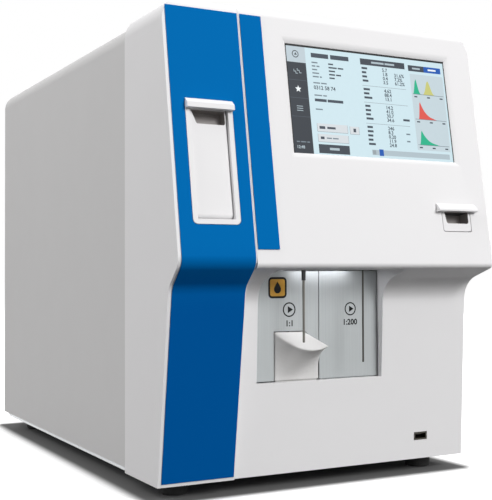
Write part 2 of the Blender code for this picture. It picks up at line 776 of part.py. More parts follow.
def feet():
    x = HALF_WIDTH - FOOT_INSET
    front = FRONT_Y + LOWER_FOOT_BACK + FOOT_INSET
    rear = REAR_Y - REAR_RECESS - FOOT_INSET
    for side, across in (("left", -x), ("right", x)):
        for end, along in (("front", front), ("rear", rear)):
            foot = rod(f"foot_{end}_{side}", (across, along), FOOT_RADIUS, "z", 0,
                       FOOT_HEIGHT - GAP, black_rubber(f"foot_rubber_{end}_{side}"))
            taper = foot.modifiers.new("soft_edge", "BEVEL")
            taper.width = FOOT_RADIUS / 8
            taper.segments = 2
            taper.limit_method = "ANGLE"


def screw_places():
    half = HALF_WIDTH - COVER_INSET - SHEET - SCREW_INSET
    low = PAN_TOP + SCREW_INSET
    high = CASE_TOP - COVER_DROP - SHEET - SCREW_INSET
    return [(x, z) for x in (-half, half) for z in (low, high)]


def rear_screws():
    for number, (x, z) in enumerate(screw_places(), 1):
        screw = rod(f"rear_screw_{number}", (x, z), SCREW_RADIUS, "y",
                    PANEL_Y + SHEET - SCREW_LENGTH, PANEL_Y + SHEET + GAP + SCREW_HEAD / 2,
                    plated_steel(f"screw_steel_{number}"), sides=12)
        weld(screw, rod(f"screw_head_{number}", (x, z), SCREW_HEAD_RADIUS, "y",
                        PANEL_Y + SHEET + GAP, PANEL_Y + SHEET + GAP + SCREW_HEAD, sides=16))


def rear_panel():
    half = HALF_WIDTH - COVER_INSET - SHEET - GAP
    top = CASE_TOP - COVER_DROP - SHEET - GAP
    radius = CORNER_RADIUS - COVER_INSET - SHEET - GAP
    outline = filleted([(-half, PAN_TOP + GAP, 0), (half, PAN_TOP + GAP, 0),
                        (half, top, radius), (-half, top, radius)])
    panel = prism("rear_panel", outline, "y", PANEL_Y, PANEL_Y + SHEET,
                  grey_paint("rear_paint"))
    near = PANEL_Y - WALL
    far = PANEL_Y + SHEET + WALL
    for number, (x, z) in enumerate(screw_places(), 1):
        cut(panel, rod(f"screw_hole_{number}", (x, z), SCREW_RADIUS + GAP, "y", near, far,
                       sides=12))
    slots = int(FAN_BORE / GRILLE_PITCH)
    for index in range(-slots, slots + 1):
        across = index * GRILLE_PITCH
        reach = math.sqrt(max((FAN_BORE - GRILLE_SLOT / 2) ** 2 - across ** 2, 0))
        cut(panel, box(f"grille_slot_{index + slots}",
                       (FAN_X + across - GRILLE_SLOT / 2, near, FAN_Z - reach),
                       (FAN_X + across + GRILLE_SLOT / 2, far, FAN_Z + reach)))
    cut(panel, box("inlet_hole", (INLET_X - INLET_WIDTH / 2, near, INLET_Z - INLET_HEIGHT / 2),
                   (INLET_X + INLET_WIDTH / 2, far, INLET_Z + INLET_HEIGHT / 2)))
    cut(panel, box("port_hole", (board_x() - GAP, near, PORT_FOOT - GAP),
                   (board_x() + PORT_WIDTH + GAP, far, PORT_TOP + GAP)))
    for index in range(PORTS_COUNT):
        cut(panel, rod(f"reagent_hole_{index + 1}", (reagent_x(index), PORTS_Z),
                       PORTS_RADIUS + GAP, "y", near, far))


def touch_screen(leaning):
    right = SCREEN_LEFT + SCREEN_WIDTH
    top = SCREEN_FOOT + SCREEN_HEIGHT
    lap = SCREEN_OVERLAP
    front = WALL + GAP
    box("touch_glass", (SCREEN_LEFT - lap, front, SCREEN_FOOT - lap),
        (right + lap, front + GLASS, top + lap), finish("screen_glass", (0.62, 0.76, 0.80), 0.12),
        leaning)
    front += GLASS + GAP
    box("lcd_panel", (SCREEN_LEFT - lap, front, SCREEN_FOOT - lap),
        (right + lap, front + PANEL_DEPTH, top + lap), black_plastic("lcd_housing"), leaning)
    back = front + PANEL_DEPTH + GAP
    half_lap = SCREEN_OVERLAP + GAP
    plate = box("display_bracket", (SCREEN_LEFT - BRACKET_LAP, WALL + GAP, SCREEN_FOOT - BRACKET_LAP),
                (right + BRACKET_LAP, back + SHEET, top + BRACKET_LAP),
                plated_steel("bracket_steel"), leaning)
    cut(plate, box("bracket_tray", (SCREEN_LEFT - half_lap, 0, SCREEN_FOOT - half_lap),
                   (right + half_lap, back, top + half_lap), parent=leaning))


def door_pivot():
    """Depth behind the face and height along it of the tube door's hinge."""
    return (DOOR_RECESS + HINGE_RADIUS, DOOR_FRAME_FOOT + DOOR_RIM + HINGE_RADIUS + DOOR_GAP)


def tube_axis():
    """Depth behind the face of the tube's middle line."""
    return (DOOR_RECESS + DOOR_THICKNESS + GAP + HOLDER_CLEARANCE + TUBE_RADIUS + HOLDER_WALL)


def door_frame(leaning):
    half = DOOR_FRAME_WIDTH / 2
    top = DOOR_FRAME_FOOT + DOOR_FRAME_HEIGHT
    pivot_depth, pivot_height = door_pivot()
    frame = prism("piercer_door_frame",
                  rectangle(DOOR_MIDDLE - half, DOOR_FRAME_FOOT, DOOR_MIDDLE + half, top,
                            DOOR_RIM), "y", -DOOR_RIM_PROUD, DOOR_FRAME_DEPTH,
                  white_plastic("door_frame_plastic"), leaning)
    inner = half - DOOR_RIM
    cut(frame,
        prism("door_bay", rectangle(DOOR_MIDDLE - inner, DOOR_FRAME_FOOT + DOOR_RIM,
                                    DOOR_MIDDLE + inner, top - DOOR_RIM), "y",
              -2 * DOOR_RIM, DOOR_FRAME_DEPTH + DOOR_RIM, parent=leaning),
        rod("hinge_hole", (pivot_depth, pivot_height), PIN_RADIUS + GAP, "x",
            DOOR_MIDDLE - half + 2 * GAP, DOOR_MIDDLE + half - 2 * GAP, parent=leaning, sides=16),
        rod("needle_pass", (DOOR_MIDDLE, tube_axis()), 3 * PIERCE_NEEDLE_RADIUS, "z",
            top - 2 * DOOR_RIM, top + DOOR_RIM, parent=leaning, sides=16))
    rod("door_hinge_pin", (pivot_depth, pivot_height), PIN_RADIUS, "x",
        DOOR_MIDDLE - half + 3 * GAP, DOOR_MIDDLE + half - 3 * GAP,
        plated_steel("hinge_pin_steel"), leaning, sides=16)


def piercer_door(leaning):
    half = DOOR_FRAME_WIDTH / 2
    panel_half = half - DOOR_RIM - DOOR_GAP
    top = DOOR_FRAME_FOOT + DOOR_FRAME_HEIGHT
    nose_foot = top - DOOR_LIP_HEIGHT
    pivot_depth, pivot_height = door_pivot()
    back = DOOR_RECESS + DOOR_THICKNESS
    panel_top = top - DOOR_RIM - DOOR_GAP
    side_view = arc((pivot_depth, pivot_height), HINGE_RADIUS, 180, 360)
    side_view += [(pivot_depth + HINGE_RADIUS, pivot_height + HINGE_RADIUS),
                  (back, pivot_height + 2 * HINGE_RADIUS), (back, panel_top),
                  (DOOR_RECESS, panel_top)]
    door = prism("piercer_door", side_view, "x", DOOR_MIDDLE - panel_half,
                 DOOR_MIDDLE + panel_half, white_plastic("door_plastic"), leaning)
    lip_back = -DOOR_RIM_PROUD - GAP
    lip_view = [(lip_back, nose_foot), (lip_back, top),
                (-DOOR_LIP_PROUD, nose_foot + DOOR_NOSE), (-DOOR_LIP_PROUD, nose_foot)]
    lip = prism("door_lip", lip_view, "x", DOOR_MIDDLE - half, DOOR_MIDDLE + half, parent=leaning)
    neck = box("door_neck", (DOOR_MIDDLE - panel_half + GAP, -DOOR_NOSE / 2, nose_foot + GAP),
               (DOOR_MIDDLE + panel_half - GAP, back - GAP, panel_top - GAP), parent=leaning)
    scoop_half = panel_half
    scoop_foot = nose_foot - SCOOP_HEIGHT
    bowl = box("scoop_bowl",
               (DOOR_MIDDLE - scoop_half, back - GAP, scoop_foot - SCOOP_WALL),
               (DOOR_MIDDLE + scoop_half, DOOR_RECESS + SCOOP_DEPTH + SCOOP_WALL,
                nose_foot + SCOOP_WALL), parent=leaning)
    slant = SCOOP_DEPTH / 2
    inner = scoop_half - SCOOP_SIDE
    scoop_view = filleted([(DOOR_MIDDLE - inner, nose_foot, 0),
                           (DOOR_MIDDLE - inner + slant, scoop_foot, SCOOP_WALL),
                           (DOOR_MIDDLE + inner, scoop_foot, SCOOP_WALL),
                           (DOOR_MIDDLE + inner, nose_foot, 0)])
    scoop = prism("door_scoop", scoop_view, "y", -SCOOP_WALL - DOOR_RIM_PROUD,
                  DOOR_RECESS + SCOOP_DEPTH, parent=leaning)
    weld(door, lip, neck, bowl)
    cut(door, scoop,
        rod("door_pin_hole", (pivot_depth, pivot_height), PIN_RADIUS + GAP, "x",
            DOOR_MIDDLE - half, DOOR_MIDDLE + half, parent=leaning, sides=16))
    set_origin(door, (DOOR_MIDDLE, pivot_depth, pivot_height))


def tube_holder(leaning):
    pivot_depth, pivot_height = door_pivot()
    middle = (DOOR_MIDDLE, tube_axis())
    foot = pivot_height + 2 * HINGE_RADIUS + HOLDER_FOOT
    top = foot + HOLDER_HEIGHT
    holder = rod("tube_holder", middle, TUBE_RADIUS + HOLDER_WALL, "z", foot, top,
                 clear_plastic("holder_plastic"), leaning)
    weld(holder, box("holder_rib",
                     (DOOR_MIDDLE - TUBE_RADIUS / 2, DOOR_RECESS + DOOR_THICKNESS + GAP,
                      foot + GAP),
                     (DOOR_MIDDLE + TUBE_RADIUS / 2, tube_axis(), top - GAP), parent=leaning))
    cut(holder, rod("tube_bore", middle, TUBE_RADIUS, "z", foot + HOLDER_FLOOR, top + WALL,
                    parent=leaning))
    set_origin(holder, (DOOR_MIDDLE, pivot_depth, pivot_height))


def piercing_unit(leaning):
    axis = tube_axis()
    floor = DOOR_FRAME_FOOT + DOOR_FRAME_HEIGHT + GAP
    half = DOOR_FRAME_WIDTH / 3
    slider_foot = floor + PIERCE_PLATE + GAP + PIERCE_STROKE
    roof = slider_foot + PIERCE_BLOCK + GAP
    back = axis + PIERCE_BLOCK
    unit = box("piercing_unit", (DOOR_MIDDLE - half, axis - PIERCE_BLOCK, floor),
               (DOOR_MIDDLE + half, back + PIERCE_PLATE, roof + PIERCE_PLATE),
               black_plastic("piercing_unit_plastic"), leaning)
    cut(unit,
        box("unit_throat", (DOOR_MIDDLE - 2 * half, axis - 2 * PIERCE_BLOCK, floor + PIERCE_PLATE),
            (DOOR_MIDDLE + 2 * half, back, roof), parent=leaning),
        rod("unit_bore", (DOOR_MIDDLE, axis), PIERCE_NEEDLE_RADIUS + 2 * GAP, "z", floor - WALL,
            floor + PIERCE_PLATE + WALL, parent=leaning, sides=16))
    needle = box("piercing_needle", (DOOR_MIDDLE - PIERCE_BLOCK, axis - PIERCE_PLATE, slider_foot),
                 (DOOR_MIDDLE + PIERCE_BLOCK, back - GAP, slider_foot + PIERCE_BLOCK),
                 brushed_steel("piercing_steel"), leaning)
    weld(needle, rod("needle_tube", (DOOR_MIDDLE, axis), PIERCE_NEEDLE_RADIUS, "z",
                     DOOR_FRAME_FOOT + DOOR_FRAME_HEIGHT - DOOR_RIM + GAP,
                     slider_foot + PIERCE_BLOCK / 2, parent=leaning, sides=12))


def sample_drawer(leaning):
    half = DRAWER_WIDTH / 2
    top = DRAWER_FOOT + DRAWER_HEIGHT
    drawer = prism("capillary_drawer",
                   rectangle(DRAWER_MIDDLE - half + GAP, DRAWER_FOOT + GAP,
                             DRAWER_MIDDLE + half - GAP, top - GAP, DRAWER_WALL), "y", 0,
                   DRAWER_PANEL, white_plastic("drawer_plastic"), leaning)
    tray_half = half - DRAWER_WALL
    tray_top = top - DRAWER_WALL
    tray = box("drawer_tray", (DRAWER_MIDDLE - tray_half, DRAWER_PANEL / 2,
                               DRAWER_FOOT + DRAWER_WALL),
               (DRAWER_MIDDLE + tray_half, DRAWER_LENGTH, tray_top), parent=leaning)
    lip_half = half + DRAWER_LIP_LAP
    lip_view = [(-GAP, top - GAP - DRAWER_NOSE), (-GAP, top + DRAWER_LIP_HEIGHT - GAP),
                (-DOOR_LIP_PROUD, top), (-DOOR_LIP_PROUD, top - DRAWER_NOSE)]
    lip = prism("drawer_lip", lip_view, "x", DRAWER_MIDDLE - lip_half, DRAWER_MIDDLE + lip_half,
                parent=leaning)
    neck = box("drawer_neck", (DRAWER_MIDDLE - half + DRAWER_WALL, -DOOR_LIP_PROUD / 2,
                               top - DRAWER_NOSE),
               (DRAWER_MIDDLE + half - DRAWER_WALL, DRAWER_PANEL / 2, top - 2 * GAP),
               parent=leaning)
    weld(drawer, tray, lip, neck)
    scoop_half = tray_half - DRAWER_WALL / 4
    scoop_foot = DRAWER_FOOT + DRAWER_SCOOP_FOOT
    scoop_view = filleted([(DRAWER_MIDDLE - scoop_half, top - DRAWER_NOSE, 0),
                           (DRAWER_MIDDLE - scoop_half + DRAWER_WALL, scoop_foot, DRAWER_WALL),
                           (DRAWER_MIDDLE + scoop_half, scoop_foot, DRAWER_WALL),
                           (DRAWER_MIDDLE + scoop_half, top - DRAWER_NOSE, 0)])
    scoop_depth = DRAWER_PANEL + SCOOP_DEPTH
    cut(drawer,
        prism("drawer_scoop", scoop_view, "y", -GAP - GAP, scoop_depth, parent=leaning),
        box("drawer_pocket", (DRAWER_MIDDLE - tray_half + DRAWER_WALL, scoop_depth + DRAWER_WALL,
                              DRAWER_FOOT + 2 * DRAWER_WALL),
            (DRAWER_MIDDLE + tray_half - DRAWER_WALL, DRAWER_LENGTH - DRAWER_WALL,
             tray_top + WALL), parent=leaning))
    guide_half = tray_half + GAP + GUIDE_WALL
    guide_foot = DRAWER_FOOT + DRAWER_WALL - GAP - GUIDE_WALL
    sleeve = box("drawer_guide", (DRAWER_MIDDLE - guide_half, WALL + GAP, guide_foot),
                 (DRAWER_MIDDLE + guide_half, DRAWER_LENGTH + GUIDE_WALL + 2 * GAP,
                  tray_top + GAP + GUIDE_WALL), black_plastic("guide_plastic"), leaning)
    cut(sleeve, box("guide_bore", (DRAWER_MIDDLE - tray_half - GAP, 0, guide_foot + GUIDE_WALL),
                    (DRAWER_MIDDLE + tray_half + GAP, DRAWER_LENGTH + 2 * GAP, tray_top + GAP),
                    parent=leaning))


def front_socket():
    half = USB_WIDTH / 2
    tall = USB_HEIGHT / 2
    front = lower_front_y(USB_Z)
    socket = box("front_data_socket", (USB_MIDDLE - half, front, USB_Z - tall),
                 (USB_MIDDLE + half, front + USB_DEPTH, USB_Z + tall),
                 plated_steel("socket_steel"))
    cut(socket, box("socket_mouth", (USB_MIDDLE - half + USB_SHELL, front - WALL,
                                     USB_Z - tall + USB_SHELL),
                    (USB_MIDDLE + half - USB_SHELL, front + USB_DEPTH - WALL,
                     USB_Z + tall - USB_SHELL)))
    weld(socket, box("socket_tongue", (USB_MIDDLE - half / 2, front + WALL, USB_Z + tall / 4),
                     (USB_MIDDLE + half / 2, front + USB_DEPTH - WALL / 2,
                      USB_Z + tall - USB_SHELL - GAP)))


def pivot_hole(name, start, end):
    return rod(name, (PIVOT_Y, PIVOT_Z), PIN_RADIUS + GAP, "x", start, end, sides=16)


def knuckle(name, left, right, top):
    """The boss behind a start plate that turns on its pin."""
    front = PLATE_Y + PLATE_THICKNESS - GAP
    outline = [(front, top), (front, PIVOT_Z)]
    outline += arc((PIVOT_Y, PIVOT_Z), PIVOT_BOSS, 210, 360)
    outline += [(PIVOT_Y + PIVOT_BOSS, PIVOT_Z + PIVOT_BOSS), (PLATE_Y + LEVER_BODY, top)]
    return prism(name, outline, "x", left, right)


def arm_places():
    """Left and right faces of the three arms that hold the pivot pins."""
    half = PIN_RADIUS
    return ((ALCOVE_LEFT - PLATE_LAP - 4 * half, ALCOVE_LEFT - PLATE_LAP - half),
            (SEAM_X - half, SEAM_X + half),
            (ALCOVE_RIGHT + PLATE_LAP + half, ALCOVE_RIGHT + PLATE_LAP + 4 * half))


def alcove_plates():
    left = ALCOVE_LEFT - PLATE_LAP
    right = ALCOVE_RIGHT - PLATE_GAP
    seam_left = SEAM_X - GAP
    outline = [(left, PLATE_FOOT), (LEVER_LEFT, PLATE_FOOT), (LEVER_LEFT, LEVER_TOP),
               (LEVER_LEFT + LEVER_SHELF, LEVER_TOP), (seam_left, LEVER_TOP - LEVER_TURN),
               (seam_left, PLATE_TOP), (left, PLATE_TOP)]
    prism("whole_blood_plate", outline, "y", PLATE_Y, PLATE_Y + PLATE_THICKNESS,
          brushed_steel("plate_steel"))
    press = box("predilute_plate", (SEAM_X + GAP, PLATE_Y, PLATE_FOOT),
                (right, PLATE_Y + PLATE_THICKNESS, PLATE_TOP), brushed_steel("press_plate_steel"))
    boss_left = arm_places()[1][1] + GAP
    boss = knuckle("press_knuckle", boss_left, right - GAP, ALCOVE_FLOOR + 2 * WALL)
    weld(press, boss)
    cut(press, pivot_hole("press_pin_hole", boss_left - WALL, right + WALL))
    set_origin(press, (SEAM_X, PIVOT_Y, PIVOT_Z))


def lever_point(across, up):
    """A point of the lever's moulded front, between its foot and its lip."""
    fan = 1 - (1 - across) ** LEVER_FAN
    left = LEVER_LEFT + 2 * GAP
    right = SEAM_X - 2 * GAP
    foot = ALCOVE_FLOOR + 3 * GAP
    lip = LEVER_TOP - 3 * GAP - LEVER_LIP_DROP * fan + LEVER_TIP_LIFT * across ** LEVER_TIP
    hook = 1 + LEVER_HOOK * across ** LEVER_HOOK_START
    return Vector((left + (right - left) * across, PLATE_Y - LEVER_REACH * fan * up ** hook,
                   foot + (lip - foot) * up))


def start_lever():
    """The white start lever: a moulded bill that stands out under the whole blood needle."""
    left = LEVER_LEFT + 2 * GAP
    right = SEAM_X - 2 * GAP
    foot = ALCOVE_FLOOR + 3 * GAP
    top = LEVER_TOP - 2 * GAP
    turn_z = LEVER_TOP - LEVER_TURN - 2 * GAP
    shelf_right = LEVER_LEFT + LEVER_SHELF - 2 * GAP
    bm = bmesh.new()
    front = []
    back = []
    for row in range(LEVER_ROWS + 2):
        up = min(row / LEVER_ROWS, 1)
        on_shelf = row > LEVER_ROWS
        high_left = foot + (top - foot) * row / (LEVER_ROWS + 1)
        high_right = top if on_shelf else foot + (turn_z - foot) * up
        end = shelf_right if on_shelf else right
        front_row = []
        back_row = []
        for column in range(LEVER_COLUMNS + 1):
            across = column / LEVER_COLUMNS
            x = left + (end - left) * across
            z = high_left + (high_right - high_left) * across
            point = Vector((x, PLATE_Y, top)) if on_shelf else lever_point(across, up)
            front_row.append(bm.verts.new(point))
            back_row.append(bm.verts.new((x, PLATE_Y + LEVER_BODY, z)))
        front.append(front_row)
        back.append(back_row)
    left_side = [row[:1] + other[:1] for row, other in zip(front, back)]
    right_side = [row[-1:] + other[-1:] for row, other in zip(front, back)]
    for grid in (front, back, left_side, right_side, [front[0], back[0]], [front[-1], back[-1]]):
        for low, high in zip(grid, grid[1:]):
            for i in range(len(low) - 1):
                bm.faces.new((low[i], low[i + 1], high[i + 1], high[i]))
    bmesh.ops.triangulate(bm, faces=bm.faces)
    lever = add_mesh("start_lever", bm, white_plastic("lever_plastic"))
    boss_left = LEVER_LEFT + 4 * GAP
    boss_right = arm_places()[1][0] - GAP
    weld(lever, knuckle("lever_knuckle", boss_left, boss_right, ALCOVE_FLOOR + 2 * WALL))
    cut(lever, pivot_hole("lever_pin_hole", boss_left - WALL, boss_right + WALL))
    set_origin(lever, (SEAM_X, PIVOT_Y, PIVOT_Z))


def lift_frame():
    """Upright sheet behind the alcove with shelves for the lifts, rods and switches."""
    back = FRONT_Y + FRAME_BACK
    foot = PAN_TOP + GAP
    left = SEAM_X - FRAME_HALF_WIDTH
    right = SEAM_X + FRAME_HALF_WIDTH
    frame = box("lift_frame", (left, back, foot), (right, back + SHELF, FRAME_TOP),
                plated_steel("lift_frame_steel"))
    front = SWITCH_Y + SHELF_SET_BACK
    for name, z in (("rod_shelf", CEILING_TOP + GAP), ("motor_shelf", motor_foot() - SHELF),
                    ("switch_shelf", SWITCH_SHELF_Z)):
        weld(frame, box(name, (left + SHELF, front, z),
                        (right - SHELF, back + SHELF / 2, z + SHELF)))
    weld(frame, box("frame_foot", (left + SHELF, back + SHELF / 2, foot + GAP),
                    (right - SHELF, back + CHASSIS_FOOT, foot + SHELF)))
    for number, (arm_left, arm_right) in enumerate(arm_places(), 1):
        weld(frame, box(f"pivot_arm_{number}",
                        (arm_left, PIVOT_Y - 2 * PIN_RADIUS, PIVOT_Z - PIVOT_BOSS),
                        (arm_right, back + SHELF / 2, PIVOT_Z + PIVOT_BOSS / 2)))
    weld(frame, box("arm_bridge", (arm_places()[0][0] + GAP, back + GAP, PIVOT_Z - PIVOT_BOSS),
                    (arm_places()[2][1] - GAP, back + SHELF - GAP, PIVOT_Z)))
    cut(frame, pivot_hole("left_pin_seat", arm_places()[0][0] - WALL, SEAM_X - GAP),
        pivot_hole("right_pin_seat", SEAM_X + GAP, arm_places()[2][1] + WALL))
    for name, x, radius, tip, cup_foot in needle_places():
        cut(frame, rod(name + "_screw_pass", (x, FRONT_Y + SCREW_BACK),
                       LIFT_SCREW_RADIUS + 4 * GAP, "z", motor_foot() - 2 * SHELF,
                       motor_foot() + SHELF, sides=16))
    rod("lever_pin", (PIVOT_Y, PIVOT_Z), PIN_RADIUS, "x", arm_places()[0][0] + GAP,
        SEAM_X - 2 * GAP, plated_steel("lever_pin_steel"), sides=16)
    rod("plate_pin", (PIVOT_Y, PIVOT_Z), PIN_RADIUS, "x", SEAM_X + 2 * GAP,
        arm_places()[2][1] - GAP, plated_steel("plate_pin_steel"), sides=16)


def motor_foot():
    """Height of the lift motors' mounting face, clear of a raised carriage."""
    return ARM_FOOT + ARM_HEIGHT + LIFT_STROKE + GAP + SHELF


def start_switches():
    foot = SWITCH_SHELF_Z + SHELF + GAP
    for name, x in (("lever_switch", WHOLE_NEEDLE_X), ("plate_switch", DILUTE_NEEDLE_X)):
        box(name, (x - SWITCH_WIDTH / 2, SWITCH_Y, foot),
            (x + SWITCH_WIDTH / 2, SWITCH_Y + SWITCH_LENGTH, foot + SWITCH_HEIGHT),
            black_plastic(name + "_plastic"))


def needle_lift(name, x, radius, tip, cup_foot):
    """One needle with its cup, carriage, guide rod, screw and motor."""
    arm_top = ARM_FOOT + ARM_HEIGHT
    rod_y = FRONT_Y + ROD_BACK
    screw_y = FRONT_Y + SCREW_BACK
    rod_foot = CEILING_TOP + GAP + SHELF + GAP
    carriage = box(name + "_carriage", (x - ARM_HALF_WIDTH, NEEDLE_Y - ARM_NOSE, ARM_FOOT),
                   (x + ARM_HALF_WIDTH, screw_y + ARM_HALF_WIDTH, arm_top),
                   black_plastic(name + "_carriage_plastic"))
    passes = (("needle", NEEDLE_Y, radius), ("rod", rod_y, ROD_RADIUS),
              ("screw", screw_y, LIFT_SCREW_RADIUS))
    for label, y, hole in passes:
        cut(carriage, rod(f"{name}_{label}_pass", (x, y), hole + GAP, "z", ARM_FOOT - WALL,
                          arm_top + WALL, sides=16))
    rod(name + "_needle", (x, NEEDLE_Y), radius, "z", tip, arm_top,
        brushed_steel(name + "_needle_steel"), sides=12)
    rod(name + "_guide_rod", (x, rod_y), ROD_RADIUS, "z", rod_foot, motor_foot() - SHELF - GAP,
        plated_steel(name + "_rod_steel"), sides=16)
    motor_top = motor_foot() + GAP + MOTOR_HEIGHT
    rod(name + "_lift_screw", (x, screw_y), LIFT_SCREW_RADIUS, "z", ARM_FOOT + GAP,
        motor_top + SHELF, plated_steel(name + "_screw_steel"), sides=12)
    half = MOTOR_SIZE / 2
    can = filleted([(x - half, screw_y - half, SHELF), (x + half, screw_y - half, SHELF),
                    (x + half, screw_y + half, SHELF), (x - half, screw_y + half, SHELF)], 1)
    motor = prism(name + "_lift_motor", can, "z", motor_foot() + GAP, motor_top,
                  black_plastic(name + "_motor_black"))
    cut(motor, rod(name + "_motor_bore", (x, screw_y), LIFT_SCREW_RADIUS + GAP, "z",
                   motor_foot() - WALL, motor_top + WALL, sides=12))
    ceiling = CEILING_TOP + GAP
    bore = radius + GAP
    outer = bore + CUP_WALL
    turned(name + "_rinse_cup",
           [(bore, cup_foot), (outer, cup_foot), (outer, ceiling),
            (CUP_FLANGE, ceiling), (CUP_FLANGE, ceiling + CUP_FLANGE_THICKNESS),
            (bore, ceiling + CUP_FLANGE_THICKNESS)], (x, NEEDLE_Y), "z",
           black_plastic(name + "_cup_plastic"), sides=20)


def alcove_lamp():
    half = LAMP_WIDTH / 2
    box("alcove_lamp", (LAMP_LEFT, FRONT_Y + LAMP_BACK - half, ALCOVE_TOP + GAP),
        (LAMP_RIGHT, FRONT_Y + LAMP_BACK + half, ALCOVE_TOP + LAMP_HEIGHT),
        finish("lamp_lens", (0.95, 0.95, 0.97), 0.3))


def chassis_wall():
    """Upright sheet along the middle that carries the fluids on its left, the board on its right."""
    foot = PAN_TOP + GAP
    outline = [(CHASSIS_X, foot), (CHASSIS_X + CHASSIS_FOOT, foot),
               (CHASSIS_X + CHASSIS_FOOT, foot + SHEET), (CHASSIS_X + SHEET, foot + SHEET),
               (CHASSIS_X + SHEET, CHASSIS_TOP), (CHASSIS_X, CHASSIS_TOP)]
    prism("chassis_wall", outline, "y", FRONT_Y + CHASSIS_FRONT, PANEL_Y - GAP,
          plated_steel("chassis_steel"))


def board_x():
    """Left face of the main board, on its stand-offs."""
    return CHASSIS_X + SHEET + GAP + BOARD_STANDOFF


def main_board():
    left = board_x()
    right = left + BOARD_THICKNESS
    front = FRONT_Y + BOARD_FRONT
    rear = PANEL_Y - WALL
    board = box("main_board", (left, front, BOARD_FOOT), (right, rear, BOARD_TOP),
                green_board("board_green"))
    inset_by = BOARD_STANDOFF
    for number, (y, z) in enumerate(((front + inset_by, BOARD_FOOT + inset_by),
                                     (front + inset_by, BOARD_TOP - inset_by),
                                     (rear - inset_by, BOARD_FOOT + inset_by),
                                     (rear - inset_by, BOARD_TOP - inset_by)), 1):
        weld(board, rod(f"board_post_{number}", (y, z), ROD_RADIUS, "x",
                        CHASSIS_X + SHEET + GAP, right - GAP, sides=10))
    weld(board, box("port_block", (left + GAP, rear - 2 * PORT_WIDTH, PORT_FOOT),
                    (left + PORT_WIDTH, PANEL_Y + SHEET + GAP, PORT_TOP)))
    length = rear - front
    height = BOARD_TOP - BOARD_FOOT
    for number, (along, up, size) in enumerate(BOARD_CHIPS, 1):
        y = front + along * length
        z = BOARD_FOOT + up * height
        side = size * height
        weld(board, box(f"chip_{number}", (right - GAP, y, z), (right + SHELF, y + side, z + side)))


def power_supply():
    supply = box("power_supply",
                 (SUPPLY_LEFT, PANEL_Y - INLET_DEPTH - SUPPLY_LENGTH, PAN_TOP + GAP),
                 (SUPPLY_LEFT + SUPPLY_WIDTH, PANEL_Y - INLET_DEPTH,
                  PAN_TOP + GAP + SUPPLY_HEIGHT), plated_steel("supply_steel"))
    edges = supply.modifiers.new("folded_edges", "BEVEL")
    edges.width = SHEET
    edges.segments = 1


def counting_unit():
    """Block on the chassis wall with the two open mixing and counting chambers on top."""
    front = FRONT_Y + COUNTER_FRONT
    right = CHASSIS_X - GAP
    unit = box("counting_unit", (right - COUNTER_DEPTH, front, COUNTER_FOOT),
               (right, front + COUNTER_LENGTH, COUNTER_FOOT + COUNTER_HEIGHT),
               clear_plastic("chamber_acrylic"))
    top = COUNTER_FOOT + COUNTER_HEIGHT
    for number in (1, 2):
        middle = (right - COUNTER_DEPTH / 2, front + COUNTER_LENGTH * (2 * number - 1) / 4)
        weld(unit, rod(f"chamber_{number}", middle, CUP_CHAMBER_RADIUS, "z", top - WALL,
                       top + CUP_CHAMBER_HEIGHT, sides=20))
        cut(unit, rod(f"chamber_bore_{number}", middle, CUP_CHAMBER_RADIUS - CHAMBER_WALL, "z",
                      top, top + CUP_CHAMBER_HEIGHT + WALL, sides=20))


def valve_manifold():
    front = FRONT_Y + MANIFOLD_FRONT
    right = CHASSIS_X - GAP
    block = box("valve_manifold", (right - MANIFOLD_DEPTH, front, MANIFOLD_FOOT),
                (right, front + MANIFOLD_LENGTH, MANIFOLD_FOOT + MANIFOLD_HEIGHT),
                clear_plastic("manifold_acrylic"))
    top = MANIFOLD_FOOT + MANIFOLD_HEIGHT
    pitch = MANIFOLD_LENGTH / VALVE_COUNT
    for number in range(VALVE_COUNT):
        middle = (right - MANIFOLD_DEPTH / 2, front + pitch * (number + 0.5))
        weld(block, rod(f"valve_{number + 1}", middle, VALVE_RADIUS, "z", top - WALL,
                        top + VALVE_HEIGHT, sides=14))


def peristaltic_pump():
    """A gear motor body on the chassis wall and its three roller rotor on the left."""
    middle_y = FRONT_Y + PUMP_MIDDLE
    right = CHASSIS_X - GAP
    face = right - PUMP_MOTOR_LENGTH
    body = rod("pump_body", (middle_y, PUMP_Z), PUMP_RADIUS + WALL, "x",
               face - ROTOR_THICKNESS - 2 * GAP, right, black_plastic("pump_black"))
    axle = PIN_RADIUS * 2
    cut(body, rod("pump_chamber", (middle_y, PUMP_Z), PUMP_RADIUS, "x",
                  face - ROTOR_THICKNESS - WALL, face))
    weld(body, rod("pump_axle", (middle_y, PUMP_Z), axle, "x", face - ROTOR_THICKNESS,
                   face + WALL, sides=16))
    rotor = rod("pump_rotor", (middle_y, PUMP_Z), PUMP_RADIUS - 3 * ROLLER_RADIUS, "x",
                face - ROTOR_THICKNESS, face - GAP, clear_plastic("rotor_plastic"))
    for index in range(ROLLER_COUNT):
        angle = 2 * math.pi * index / ROLLER_COUNT
        reach = PUMP_RADIUS - 2 * ROLLER_RADIUS - GAP
        weld(rotor, rod(f"roller_{index + 1}",
                        (middle_y + reach * math.cos(angle), PUMP_Z + reach * math.sin(angle)),
                        ROLLER_RADIUS, "x", face - ROTOR_THICKNESS + GAP, face - 2 * GAP,
                        sides=14))
    cut(rotor, rod("rotor_bore", (middle_y, PUMP_Z), axle + GAP, "x",
                   face - ROTOR_THICKNESS - WALL, face + WALL, sides=16))
    set_origin(rotor, (face, middle_y, PUMP_Z))


